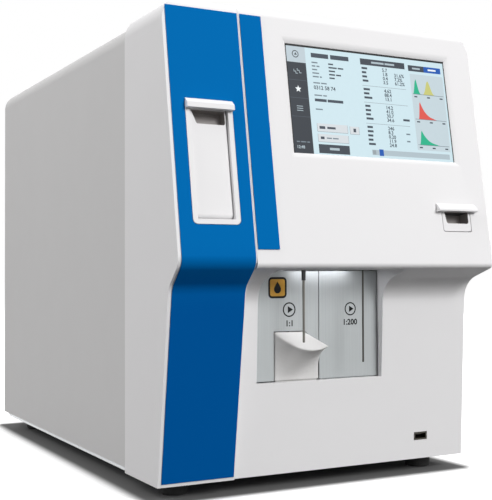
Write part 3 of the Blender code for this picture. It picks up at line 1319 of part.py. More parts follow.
def cooling_fan():
    """A square fan behind the rear panel, with its bladed rotor on the frame's axle."""
    half = FAN_SIZE / 2
    rear = PANEL_Y - GAP
    front = rear - FAN_DEPTH
    outline = rectangle(FAN_X - half, FAN_Z - half, FAN_X + half, FAN_Z + half, WALL, 3)
    frame = prism("fan_frame", outline, "y", front, rear, black_plastic("fan_frame_plastic"))
    cut(frame, rod("fan_tunnel", (FAN_X, FAN_Z), FAN_BORE, "y", front - WALL, rear + WALL,
                   sides=32))
    hub_back = front + SHELF
    bars = (((FAN_X - half + WALL, FAN_Z - SHELF), (FAN_X + half - WALL, FAN_Z + SHELF)),
            ((FAN_X - SHELF, FAN_Z - half + WALL), (FAN_X + SHELF, FAN_Z + half - WALL)))
    for number, (low, high) in enumerate(bars, 1):
        weld(frame, box(f"fan_bar_{number}", (low[0], front + GAP, low[1]),
                        (high[0], hub_back, high[1])))
    weld(frame, rod("fan_motor_seat", (FAN_X, FAN_Z), FAN_HUB, "y", front + 2 * GAP,
                    hub_back + GAP, sides=24),
         rod("fan_axle", (FAN_X, FAN_Z), PIN_RADIUS, "y", front + SHELF / 2,
             rear - 2 * SHELF, sides=12))
    rotor_front = hub_back + 2 * GAP
    rotor_rear = rear - SHELF
    rotor = rod("fan_rotor", (FAN_X, FAN_Z), FAN_HUB, "y", rotor_front, rotor_rear,
                black_plastic("fan_rotor_plastic"))
    length = FAN_BORE - 2 * GAP - SHEET - FAN_HUB / 2
    for index in range(FAN_BLADES):
        blade = box(f"fan_blade_{index + 1}", (-SHEET / 2, -FAN_DEPTH / 3, 0),
                    (SHEET / 2, FAN_DEPTH / 3, length))
        turn = Matrix.Rotation(2 * math.pi * index / FAN_BLADES, 4, "Y")
        place = Matrix.Translation((FAN_X, (rotor_front + rotor_rear) / 2, FAN_Z))
        lift = Matrix.Translation((0, 0, FAN_HUB / 2))
        blade.data.transform(place @ turn @ lift @ Matrix.Rotation(math.radians(35), 4, "Z"))
        weld(rotor, blade)
    cut(rotor, rod("fan_bore", (FAN_X, FAN_Z), PIN_RADIUS + GAP, "y", rotor_front - WALL,
                   rotor_rear - SHELF, sides=12))
    set_origin(rotor, (FAN_X, rotor_front, FAN_Z))


def power_inlet():
    """Mains socket with the rocker's seat above it, in one flanged body behind the panel."""
    half = INLET_WIDTH / 2
    tall = INLET_HEIGHT / 2
    face = PANEL_Y + SHEET + GAP
    body = box("power_inlet", (INLET_X - half + GAP, face - INLET_DEPTH, INLET_Z - tall + GAP),
               (INLET_X + half - GAP, face + INLET_FLANGE / 2, INLET_Z + tall - GAP),
               black_plastic("inlet_plastic"))
    weld(body, box("inlet_flange", (INLET_X - half - WALL, face, INLET_Z - tall - WALL),
                   (INLET_X + half + WALL, face + INLET_FLANGE, INLET_Z + tall + WALL)))
    socket_foot = INLET_Z - tall + WALL
    socket_top = INLET_Z - WALL / 2
    cut(body, box("inlet_socket", (INLET_X - half + WALL, face + INLET_FLANGE - INLET_SOCKET,
                                   socket_foot),
                  (INLET_X + half - WALL, face + 2 * INLET_FLANGE, socket_top)),
        box("rocker_seat", (INLET_X - ROCKER_WIDTH / 2 - GAP, face - INLET_SOCKET / 2,
                            rocker_z() - ROCKER_HEIGHT / 2 - ROCKER_ROOM),
            (INLET_X + ROCKER_WIDTH / 2 + GAP, face + 2 * INLET_FLANGE,
             rocker_z() + ROCKER_HEIGHT / 2 + ROCKER_ROOM)))
    middle = (socket_foot + socket_top) / 2
    for number, (x, z) in enumerate(INLET_BLADES, 1):
        weld(body, box(f"inlet_blade_{number}",
                       (INLET_X + x - SHEET / 2, face + INLET_FLANGE - INLET_SOCKET - GAP,
                        middle + z - SHELF),
                       (INLET_X + x + SHEET / 2, face - GAP, middle + z + SHELF)))


def rocker_z():
    """Height of the rocker's pivot, in the upper half of the inlet body."""
    return INLET_Z + INLET_HEIGHT / 4


def power_switch():
    """A rocker with a shallow V front, resting with its lower half pressed in."""
    face = PANEL_Y + SHEET + GAP + INLET_FLANGE
    half = ROCKER_HEIGHT / 2
    rise = half * math.tan(ROCKER_TILT)
    z = rocker_z()
    pivot_y = face - INLET_FLANGE
    back = pivot_y - SHELF
    low = half * ROCKER_BACK_SHARE
    outline = [(back, z - low), (back, z + low), (face, z + half),
               (face + ROCKER_PROUD + rise, z + half), (face + ROCKER_PROUD, z),
               (face, z - half)]
    rocker = prism("power_switch", outline, "x", INLET_X - ROCKER_WIDTH / 2,
                   INLET_X + ROCKER_WIDTH / 2, black_plastic("rocker_plastic"))
    set_origin(rocker, (INLET_X, pivot_y, z))


def reagent_x(index):
    return PORTS_X + (index - (PORTS_COUNT - 1) / 2) * PORTS_PITCH


def reagent_ports():
    """A plate inside the rear panel with barbed nozzles that pass out through it."""
    half = PORTS_PITCH * PORTS_COUNT / 2
    block = box("reagent_ports", (PORTS_X - half, PANEL_Y - GAP - WALL, PORTS_Z - PORTS_RADIUS * 2),
                (PORTS_X + half, PANEL_Y - GAP, PORTS_Z + PORTS_RADIUS * 2),
                clear_plastic("port_plastic"))
    face = PANEL_Y + SHEET
    for index in range(PORTS_COUNT):
        middle = (reagent_x(index), PORTS_Z)
        weld(block, rod(f"nozzle_{index + 1}", middle, PORTS_RADIUS, "y", PANEL_Y - WALL,
                        face + PORTS_REACH, sides=16))
        cut(block, rod(f"nozzle_bore_{index + 1}", middle, PORTS_BORE, "y", PANEL_Y - 3 * WALL,
                       face + 2 * PORTS_REACH, sides=12))


def build():
    clear_scene()
    leaning = face_frame()
    joint = (side_window(), pan_room())
    opening = front_column(leaning, joint)
    front_bezel(leaning, joint)
    column_label(opening)
    bezel_label(leaning)
    main_cover()
    base_pan()
    feet()
    rear_screws()
    rear_panel()
    touch_screen(leaning)
    door_frame(leaning)
    piercer_door(leaning)
    tube_holder(leaning)
    piercing_unit(leaning)
    sample_drawer(leaning)
    front_socket()
    alcove_plates()
    start_lever()
    lift_frame()
    start_switches()
    for place in needle_places():
        needle_lift(*place)
    alcove_lamp()
    chassis_wall()
    main_board()
    power_supply()
    counting_unit()
    valve_manifold()
    peristaltic_pump()
    cooling_fan()
    power_inlet()
    power_switch()
    reagent_ports()


build()
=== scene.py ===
# Benchtop blood cell analyser: the looks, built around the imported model.
# The front faces -Y, +X is to the viewer's right, +Z is up. Metres.
import json
import math

import bpy
import bmesh
from mathutils import Matrix, Vector

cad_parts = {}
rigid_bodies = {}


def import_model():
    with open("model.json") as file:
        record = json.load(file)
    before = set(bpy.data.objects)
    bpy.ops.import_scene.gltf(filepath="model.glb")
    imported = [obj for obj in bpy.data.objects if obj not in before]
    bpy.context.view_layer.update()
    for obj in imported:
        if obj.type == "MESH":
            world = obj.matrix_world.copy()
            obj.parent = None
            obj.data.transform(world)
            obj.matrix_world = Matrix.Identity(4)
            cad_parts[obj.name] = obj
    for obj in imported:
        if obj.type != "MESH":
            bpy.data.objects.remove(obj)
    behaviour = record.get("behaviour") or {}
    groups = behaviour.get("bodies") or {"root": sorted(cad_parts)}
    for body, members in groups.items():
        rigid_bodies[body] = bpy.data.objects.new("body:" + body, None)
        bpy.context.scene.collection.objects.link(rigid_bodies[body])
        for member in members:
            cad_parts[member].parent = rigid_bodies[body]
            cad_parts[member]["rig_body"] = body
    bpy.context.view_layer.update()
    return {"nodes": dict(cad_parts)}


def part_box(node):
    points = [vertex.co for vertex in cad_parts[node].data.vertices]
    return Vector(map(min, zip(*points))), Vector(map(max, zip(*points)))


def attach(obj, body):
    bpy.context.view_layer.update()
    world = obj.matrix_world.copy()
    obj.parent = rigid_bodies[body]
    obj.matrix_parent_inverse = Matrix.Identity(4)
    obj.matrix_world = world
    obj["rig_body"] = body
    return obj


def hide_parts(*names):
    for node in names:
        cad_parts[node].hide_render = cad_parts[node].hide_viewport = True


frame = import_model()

nodes = frame["nodes"]
# the leaning upper front: how far it leans, the front of its foot, and the turn from upright to it
faceLean = math.radians(9.15)
faceFoot = Vector((0, -0.245917, 0.1755))
faceTurn = Matrix.Translation(faceFoot) @ Matrix.Rotation(-faceLean, 4, "X")


def srgb(red, green, blue):
    # a colour as a picture shows it, 0 to 255, as Blender's linear colour
    def linear(value):
        value = value / 255
        return value / 12.92 if value <= 0.04045 else ((value + 0.055) / 1.055) ** 2.4
    return (linear(red), linear(green), linear(blue))


# helpers for pieces
def deselect():
    if bpy.context.object and bpy.context.object.mode != "OBJECT":
        bpy.ops.object.mode_set(mode="OBJECT")
    bpy.ops.object.select_all(action="DESELECT")


def activate(*pieces):
    deselect()
    for piece in pieces:
        piece.select_set(True)
    bpy.context.view_layer.objects.active = pieces[0]


def joined(pieces):
    activate(*pieces)
    if len(pieces) > 1:
        bpy.ops.object.join()
    return bpy.context.object


def settled(piece):
    # puts the piece's place, turn and size into its mesh
    activate(piece)
    bpy.ops.object.transform_apply(location=True, rotation=True, scale=True)
    return piece


def smoothed(piece, degrees=35):
    activate(piece)
    bpy.ops.object.shade_smooth_by_angle(angle=math.radians(degrees))
    return piece


def modified(piece, kind, **values):
    activate(piece)
    modifier = piece.modifiers.new(kind.lower(), kind)
    for key, value in values.items():
        setattr(modifier, key, value)
    bpy.ops.object.modifier_apply(modifier=modifier.name)
    return piece


def dressed(piece, name, material, body, replaced=()):
    # names the piece, gives it its finish, and lets it ride on its body
    piece.name = name
    piece.data.name = name
    if material:
        piece.data.materials.clear()
        piece.data.materials.append(material)
    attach(piece, body)
    if replaced:
        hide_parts(*replaced)
    return piece


# finishes
def graph(owner):
    # the nodes and the links of a material or of the world
    tree = owner.node_tree
    return tree.nodes, tree.links


def blended(add, link, factor, first, second):
    # one Mix node that runs from the first colour to the second
    mix = add.new("ShaderNodeMix")
    mix.data_type = "RGBA"
    mix.inputs["A"].default_value = (*first, 1)
    mix.inputs["B"].default_value = (*second, 1)
    link.new(factor, mix.inputs["Factor"])
    return mix.outputs["Result"]


def around(color, share):
    # a colour a little darker and a little lighter than the one given
    return [c * (1 - share) for c in color], [min(c * (1 + share), 1) for c in color]


def surface(name, color, roughness, metallic=0.0, stretch=(1, 1, 1), mottle=0.03,
            mottleScale=30, grain=900, depth=0.1, reach=0.00005, spread=0.05, **sockets):
    # one procedural finish: slow colour change, uneven gloss and a fine bump, in object space
    material = bpy.data.materials.new(name)
    material.use_nodes = True
    add, link = graph(material)
    shader = add["Principled BSDF"]
    shader.inputs["Metallic"].default_value = metallic
    for key, value in sockets.items():
        shader.inputs[key.replace("_", " ")].default_value = value
    place = add.new("ShaderNodeTexCoord")
    mapping = add.new("ShaderNodeMapping")
    mapping.inputs["Scale"].default_value = stretch
    link.new(place.outputs["Object"], mapping.inputs["Vector"])
    slow = add.new("ShaderNodeTexNoise")
    slow.inputs["Scale"].default_value = mottleScale
    slow.inputs["Detail"].default_value = 3
    link.new(mapping.outputs["Vector"], slow.inputs["Vector"])
    mottled = blended(add, link, slow.outputs["Fac"], *around(color, mottle))
    link.new(mottled, shader.inputs["Base Color"])
    fine = add.new("ShaderNodeTexNoise")
    fine.inputs["Scale"].default_value = grain
    fine.inputs["Detail"].default_value = 2
    link.new(mapping.outputs["Vector"], fine.inputs["Vector"])
    gloss = add.new("ShaderNodeMapRange")
    gloss.inputs["To Min"].default_value = roughness - spread
    gloss.inputs["To Max"].default_value = roughness + spread
    link.new(fine.outputs["Fac"], gloss.inputs["Value"])
    link.new(gloss.outputs["Result"], shader.inputs["Roughness"])
    bump = add.new("ShaderNodeBump")
    bump.inputs["Strength"].default_value = depth
    bump.inputs["Distance"].default_value = reach
    link.new(fine.outputs["Fac"], bump.inputs["Height"])
    link.new(bump.outputs["Normal"], shader.inputs["Normal"])
    return material


def heightShaded(material, low, high, lowColor, highColor):
    # painted shade: the colour darkens downwards between two heights, standing for the light
    # falling off on the lower face
    add, link = graph(material)
    shader = add["Principled BSDF"]
    place = add.new("ShaderNodeTexCoord")
    parts = add.new("ShaderNodeSeparateXYZ")
    link.new(place.outputs["Object"], parts.inputs["Vector"])
    share = add.new("ShaderNodeMapRange")
    share.interpolation_type = "SMOOTHSTEP"
    share.inputs["From Min"].default_value = low
    share.inputs["From Max"].default_value = high
    link.new(parts.outputs["Z"], share.inputs["Value"])
    tint = blended(add, link, share.outputs["Result"], lowColor, highColor)
    link.new(tint, shader.inputs["Base Color"])
    return material


litSkin = {"base": (0.01, 0.01, 0.01, 1), "roughness": 0.4, "specular": 0.08}


def lit(name, color, strength=1.0, ripple=0.02, rippleScale=300):
    # a glowing area of the display or the lamp, with the fine ripple of its backlight
    material = bpy.data.materials.new(name)
    material.use_nodes = True
    add, link = graph(material)
    shader = add["Principled BSDF"]
    shader.inputs["Base Color"].default_value = litSkin["base"]
    shader.inputs["Roughness"].default_value = litSkin["roughness"]
    shader.inputs["Specular IOR Level"].default_value = litSkin["specular"]
    shader.inputs["Emission Strength"].default_value = strength
    place = add.new("ShaderNodeTexCoord")
    noise = add.new("ShaderNodeTexNoise")
    noise.inputs["Scale"].default_value = rippleScale
    link.new(place.outputs["Object"], noise.inputs["Vector"])
    glow = blended(add, link, noise.outputs["Fac"], *around(color, ripple))
    link.new(glow, shader.inputs["Emission Color"])
    return material


moulded = {"mottle": 0.012, "grain": 1600, "depth": 0.25, "reach": 0.00004,
           "Specular_IOR_Level": 0.2}
whiteMoulding = surface("whiteMoulding", srgb(229, 228, 229), 0.6, **moulded)
# painted shade: the lever is the same white plastic as the moulding, given a darker copy for the
# shade of the alcove
leverShadedMoulding = surface("leverShadedMoulding", srgb(205, 204, 203), 0.6, **moulded)
coverPaint = surface("coverPaint", srgb(205, 204, 204), 0.6, mottle=0.015, grain=1100,
                     depth=0.3, reach=0.00006, Specular_IOR_Level=0.2)
rearPaint = surface("rearPaint", srgb(200, 199, 199), 0.52, mottle=0.02, grain=1100,
                    depth=0.3, reach=0.00006)
# painted shade: the blue film is darker low down, where its face turns away from the light
blueFilm = heightShaded(surface("blueFilm", srgb(0, 100, 175), 0.6, grain=2200, depth=0.12,
                          reach=0.00003, Specular_IOR_Level=0.01),
                  0.140, 0.200, srgb(0, 86, 158), srgb(0, 104, 174))
brushedPlate = surface("brushedPlate", srgb(156, 160, 161), 0.45, metallic=0.35,
                       stretch=(1, 1, 0.012), mottle=0.10, mottleScale=900, grain=2600,
                       depth=0.22, reach=0.00003, spread=0.06)
platedSheet = surface("platedSheet", srgb(192, 194, 196), 0.36, metallic=1.0, mottle=0.06,
                      mottleScale=120, grain=700, depth=0.1)
needleSteel = surface("needleSteel", srgb(105, 103, 98), 0.3, metallic=0.5,
                      stretch=(1, 1, 8), mottle=0.05, mottleScale=200, grain=500, depth=0.06)
fineSteel = surface("fineSteel", srgb(60, 58, 54), 0.35, metallic=0.4, stretch=(1, 1, 8),
                    mottle=0.05, mottleScale=200, grain=500, depth=0.06)
blackPlastic = surface("blackPlastic", srgb(38, 38, 40), 0.46, mottle=0.06, grain=1800,
                       depth=0.25)
footRubber = surface("footRubber", srgb(32, 32, 32), 0.8, mottle=0.08, grain=1300, depth=0.35)
clearAcrylic = surface("clearAcrylic", srgb(222, 230, 233), 0.12, mottle=0.01, grain=300,
                       depth=0.03, Transmission_Weight=0.75, IOR=1.49)
# painted shade: a darker grey for the shade inside the finger scoops of the white mouldings
scoopShadeGrey = surface("scoopShadeGrey", srgb(144, 139, 137), 0.6, mottle=0.03, grain=1500, depth=0.2)
displayGlass = surface("displayGlass", srgb(20, 22, 24), 0.1, mottle=0.02, grain=200,
                       depth=0.01, spread=0.02)
boardMask = surface("boardMask", srgb(20, 96, 58), 0.42, mottle=0.2, mottleScale=160,
                    grain=900, depth=0.3)
fanBlack = surface("fanBlack", srgb(30, 30, 32), 0.4, mottle=0.05, grain=1200, depth=0.15)
# painted shade: the front socket's whole metal shell is dark, standing for the shade in its mouth
socketShellShade = surface("socketShellShade", srgb(50, 46, 38), 0.4, metallic=0.4, mottle=0.06,
                      mottleScale=300, grain=900, depth=0.1)
lampLens = lit("lampLens", srgb(250, 250, 255), 13.0)
print("finishes made")


# CAD nodes whose shape is right: a copy with its edges broken, or a finish alone
copying = {"merge": 0.000002, "flat": math.radians(0.6), "sharp": math.radians(38), "weight": 80}


def edged(piece, bevel, segments):
    # breaks the sharp edges where a width is given, and shades what lies between them
    if bevel:
        modified(piece, "BEVEL", width=bevel, segments=segments, limit_method="ANGLE",
                 angle_limit=copying["sharp"], use_clamp_overlap=True)
    smoothed(piece)
    modified(piece, "WEIGHTED_NORMAL", keep_sharp=True, weight=copying["weight"])


def refined(node, name, material, bevel, segments):
    # a copy of the node's mesh, merged, with soft edges
    source = nodes[node]
    deselect()
    piece = source.copy()
    piece.data = source.data.copy()
    for key in list(piece.keys()):
        if key.startswith("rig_"):
            del piece[key]
    piece.parent = None
    bpy.context.scene.collection.objects.link(piece)
    activate(piece)
    bpy.ops.object.mode_set(mode="EDIT")
    bpy.ops.mesh.select_all(action="SELECT")
    bpy.ops.mesh.remove_doubles(threshold=copying["merge"])
    bpy.ops.mesh.dissolve_limited(angle_limit=copying["flat"])
    bpy.ops.object.mode_set(mode="OBJECT")
    edged(piece, bevel, segments)
    return dressed(piece, name, material, source["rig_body"], (node,))


# node: (name, finish, slot, edge radius, segments)
copies = {
    "front_bezel": ("rightMoulding", whiteMoulding, "white_moulding", 0.0008, 3),
    "front_column": ("leftMoulding", whiteMoulding, "white_moulding", 0.0008, 3),
    "main_cover": ("coverSheet", coverPaint, "grey_cover", 0.0003, 2),
    "rear_panel": ("rearSheet", rearPaint, "grey_cover", 0.0003, 2),
    "base_pan": ("bottomPan", platedSheet, "plated_sheet", 0.0003, 2),
    "column_label": ("columnFilm", blueFilm, "blue_label", 0, 1),
    "bezel_label": ("stripFilm", blueFilm, "blue_label", 0, 1),
    "piercer_door_frame": ("doorRim", whiteMoulding, "white_moulding", 0.0009, 3),
    "piercer_door": ("doorPanel", whiteMoulding, "white_moulding", 0.0001, 2),
    "capillary_drawer": ("drawerPanel", whiteMoulding, "white_moulding", 0.0001, 2),
    "start_lever": ("leverBill", leverShadedMoulding, "white_moulding", 0, 1),
    "whole_blood_plate": ("leftPlate", brushedPlate, "brushed_plate", 0.0002, 2),
    "predilute_plate": ("rightPlate", brushedPlate, "brushed_plate", 0.0002, 2),
    "touch_glass": ("displayPane", displayGlass, "screen_glass", 0.0003, 2),
    "alcove_lamp": ("lampStrip", lampLens, "lamp_lens", 0.0006, 3),
    "foot_front_left": ("footFrontLeft", footRubber, "black_rubber", 0.0006, 3),
    "foot_front_right": ("footFrontRight", footRubber, "black_rubber", 0.0006, 3),
    "foot_rear_left": ("footRearLeft", footRubber, "black_rubber", 0.0006, 3),
    "foot_rear_right": ("footRearRight", footRubber, "black_rubber", 0.0006, 3),
    "whole_blood_needle": ("leftNeedle", needleSteel, "needle_steel", 0.0003, 2),
    "predilute_needle": ("rightNeedle", fineSteel, "needle_steel", 0.0002, 2),
    "piercing_needle": ("capNeedle", needleSteel, "needle_steel", 0.0003, 2),
    "whole_blood_rinse_cup": ("leftCup", blackPlastic, "black_plastic", 0.0001, 1),
    "predilute_rinse_cup": ("rightCup", blackPlastic, "black_plastic", 0.0001, 1),
    "tube_holder": ("tubeSleeve", clearAcrylic, "clear_plastic", 0.0004, 2),
    "front_data_socket": ("frontSocketShell", socketShellShade, "plated_sheet", 0.0001, 1),
    "fan_frame": ("fanHousing", fanBlack, "black_plastic", 0.0005, 2),
    "fan_rotor": ("fanBlades", fanBlack, "black_plastic", 0.0003, 2),
    "power_inlet": ("inletBody", blackPlastic, "black_plastic", 0.0004, 2),
    "power_switch": ("rockerCap", blackPlastic, "black_plastic", 0.0005, 3),
    "reagent_ports": ("nozzlePlate", clearAcrylic, "clear_plastic", 0.0003, 2),
    "counting_unit": ("chamberBlock", clearAcrylic, "clear_plastic", 0.0005, 2),
    "valve_manifold": ("valveBlock", clearAcrylic, "clear_plastic", 0.0005, 2),
    "pump_body": ("pumpHousing", blackPlastic, "black_plastic", 0.0005, 2),
    "pump_rotor": ("pumpWheel", clearAcrylic, "clear_plastic", 0.0004, 2),
    "power_supply": ("supplyCase", platedSheet, "plated_sheet", 0.0006, 2),
    "main_board": ("circuitBoard", boardMask, "green_board", 0.0002, 1),
}
for node, (name, material, slot, bevel, segments) in copies.items():
    refined(node, name, material, bevel, segments)
print("copies refined:", len(copies))

# The blue films are lifted to the end of the flat face. The spin was meant to carry them over
# the roof edge, but it turns their ends back, through the film and into the moulding: a known
# fault.
roofEdge = {"radius": 0.008, "over": math.radians(32), "steps": 8, "filmEdge": 0.0001}


def rolledTop(piece):
    # moves the film's top end up the leaning face, then spins it on
    uphill = Vector((0, math.sin(faceLean), math.cos(faceLean)))
    outward = Vector((0, -math.cos(faceLean), math.sin(faceLean)))
    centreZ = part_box("front_column")[1].z - roofEdge["radius"]
    flatEndZ = centreZ + roofEdge["radius"] * math.sin(faceLean)
    flatEnd = faceFoot + uphill * (flatEndZ - faceFoot.z) / uphill.z
    centre = flatEnd - outward * roofEdge["radius"]
    activate(piece)
    bpy.ops.object.mode_set(mode="EDIT")
    bpy.ops.mesh.select_all(action="DESELECT")
    bm = bmesh.from_edit_mesh(piece.data)
    top = max(bm.faces, key=lambda face: face.calc_center_median().dot(uphill))
    top.select = True
    bmesh.update_edit_mesh(piece.data)
    climb = (flatEnd - top.calc_center_median()).dot(uphill)
    bpy.ops.transform.translate(value=uphill * climb)
    bpy.ops.mesh.spin(steps=roofEdge["steps"], angle=-roofEdge["over"], center=centre,
                      axis=(1, 0, 0))
    bpy.ops.mesh.select_all(action="SELECT")
    bpy.ops.mesh.normals_make_consistent(inside=False)
    bpy.ops.object.mode_set(mode="OBJECT")
    edged(piece, roofEdge["filmEdge"], 1)


for name in ("columnFilm", "stripFilm"):
    rolledTop(bpy.data.objects[name])
print("films lifted")

# the start lever is a soft moulding: evenly meshed, then its edges eased
bill = {"mesh": 0.0006, "share": 0.5, "ease": 10, "sharp": 60}
leverBill = bpy.data.objects["leverBill"]
modified(leverBill, "REMESH", mode="VOXEL", voxel_size=bill["mesh"])
modified(leverBill, "SMOOTH", factor=bill["share"], iterations=bill["ease"])
smoothed(leverBill, bill["sharp"])
print("lever eased")


def shadeScoop(piece, low, high):
    # painted shade: the faces of a finger scoop get a darker grey for the shade in the recess; its
    # box is across, into and up the leaning face
    back = faceTurn.inverted()
    piece.data.materials.append(scoopShadeGrey)
    for face in piece.data.polygons:
        place = back @ face.center
        if all(low[i] < place[i] < high[i] for i in range(3)):
            face.material_index = 1


scoops = {"doorPanel": ((-0.1280, 0.0022, 0.1120), (-0.0996, 0.0104, 0.1234)),
          "drawerPanel": ((0.1012, 0.0002, 0.0398), (0.1266, 0.0114, 0.0501))}
for name, (low, high) in scoops.items():
    shadeScoop(bpy.data.objects[name], low, high)
print("scoops darkened")

kept = {
    "black_plastic": (blackPlastic, ["lcd_panel", "drawer_guide", "piercing_unit", "lever_switch",
                                     "plate_switch", "whole_blood_carriage",
                                     "predilute_carriage", "whole_blood_lift_motor",
                                     "predilute_lift_motor"]),
    "plated_sheet": (platedSheet, ["door_hinge_pin", "lever_pin", "plate_pin", "lift_frame",
                                   "whole_blood_guide_rod", "predilute_guide_rod",
                                   "whole_blood_lift_screw", "predilute_lift_screw",
                                   "display_bracket", "chassis_wall"]),
}
for slot, (material, names) in kept.items():
    for name in names:
        for materialSlot in nodes[name].material_slots:
            materialSlot.material = material
print("kept nodes finished")


# display picture, laid out in shares of the opening, v from the top
display = {"left": -0.0398, "right": 0.1210, "foot": 0.0947, "top": 0.18558,
           "depth": 0.0033, "layer": 0.00003, "bold": 0.00010, "figure": 0.0043, "code": 0.0046,
           "clock": 0.0034, "starWaist": 0.45}
inkColors = {
    "sky": (206, 229, 237), "haze": (196, 212, 219), "night": (44, 51, 60),
    "nightLine": (74, 84, 94), "homeTile": (190, 204, 212), "ink": (62, 72, 84),
    "greyInk": (118, 132, 142), "paleInk": (176, 192, 200), "slate": (58, 66, 76),
    "accent": (0, 84, 176), "button": (214, 220, 224), "buttonEdge": (150, 160, 166),
    "teal": (24, 178, 136), "olive": (200, 200, 118), "red": (222, 84, 74),
    "white": (244, 250, 252), "black": (14, 15, 17),
}
inks = {name: lit("ink_" + name, srgb(*color)) for name, color in inkColors.items()}


def spot(u, v, layer):
    x = display["left"] + u * (display["right"] - display["left"])
    z = display["top"] - v * (display["top"] - display["foot"])
    return (x, display["depth"] - layer * display["layer"], z)


def patch(u0, v0, u1, v1, layer, ink):
    low = Vector(spot(u0, v1, layer))
    high = Vector(spot(u1, v0, layer))
    deselect()
    bpy.ops.mesh.primitive_plane_add(size=1, location=(low + high) / 2,
                                     rotation=(math.radians(90), 0, 0))
    piece = bpy.context.object
    piece.scale = (high.x - low.x, high.z - low.z, 1)
    piece.data.materials.append(inks[ink])
    return piece


def wordRow(u, v, widths, height, layer, ink, space=0.006):
    # a line of plain blocks that stands for words
    row = []
    for width in widths:
        row.append(patch(u, v - height / 2, u + width, v + height / 2, layer, ink))
        u += width + space
    return row


def numbers(u, v, body, size, layer, ink):
    deselect()
    bpy.ops.object.text_add(location=spot(u, v, layer), rotation=(math.radians(90), 0, 0))
    text = bpy.context.object
    text.data.body = body
    text.data.size = size
    text.data.offset = display["bold"]
    text.data.resolution_u = 2
    bpy.ops.object.convert(target="MESH")
    piece = bpy.context.object
    piece.data.materials.clear()
    piece.data.materials.append(inks[ink])
    return piece


def hump(u0, u1, base, height, layer, ink, shape, steps=28, level=1e-7):
    # an area under a curve: the top row of a flat grid follows the shape
    piece = patch(u0, base - height, u1, base, layer, ink)
    activate(piece)
    bpy.ops.object.transform_apply(location=False, rotation=False, scale=True)
    low = spot(0, base, layer)[2]
    rise = display["top"] - display["foot"]
    bpy.ops.object.mode_set(mode="EDIT")
    bm = bmesh.from_edit_mesh(piece.data)
    across = [edge for edge in bm.edges if abs(edge.verts[0].co.y - edge.verts[1].co.y) < level]
    bmesh.ops.subdivide_edges(bm, edges=across, cuts=steps)
    xs = [vert.co.x for vert in bm.verts]
    start, span = min(xs), max(xs) - min(xs)
    for vert in bm.verts:
        if vert.co.y > 0:
            share = (vert.co.x - start) / span
            vert.co.y = low + shape(share) * height * rise - piece.location.z
    bmesh.update_edit_mesh(piece.data)
    bpy.ops.object.mode_set(mode="OBJECT")
    return piece


def bell(share, middle, width):
    # a bell curve that is brought down to nought at both ends
    end = 1 if share > middle else 0
    edge = math.exp(-((end - middle) / width) ** 2)
    return max(math.exp(-((share - middle) / width) ** 2) - edge, 0.0)


def tail(share, peak=0.12, climb=1.4, fall=0.26, late=0.8, sink=0.9):
    # a quick climb, then a long fall that sinks faster near its end
    if share < peak:
        return (share / peak) ** climb
    return math.exp(-(share - peak) / fall) * (1 - max(share - late, 0) / (1 - late) * sink)


def dot(u, v, radius, layer, ink, sides=32):
    deselect()
    bpy.ops.mesh.primitive_circle_add(vertices=sides, radius=radius, fill_type="NGON",
                                      location=spot(u, v, layer),
                                      rotation=(math.radians(90), 0, 0))
    piece = bpy.context.object
    piece.data.materials.append(inks[ink])
    return piece


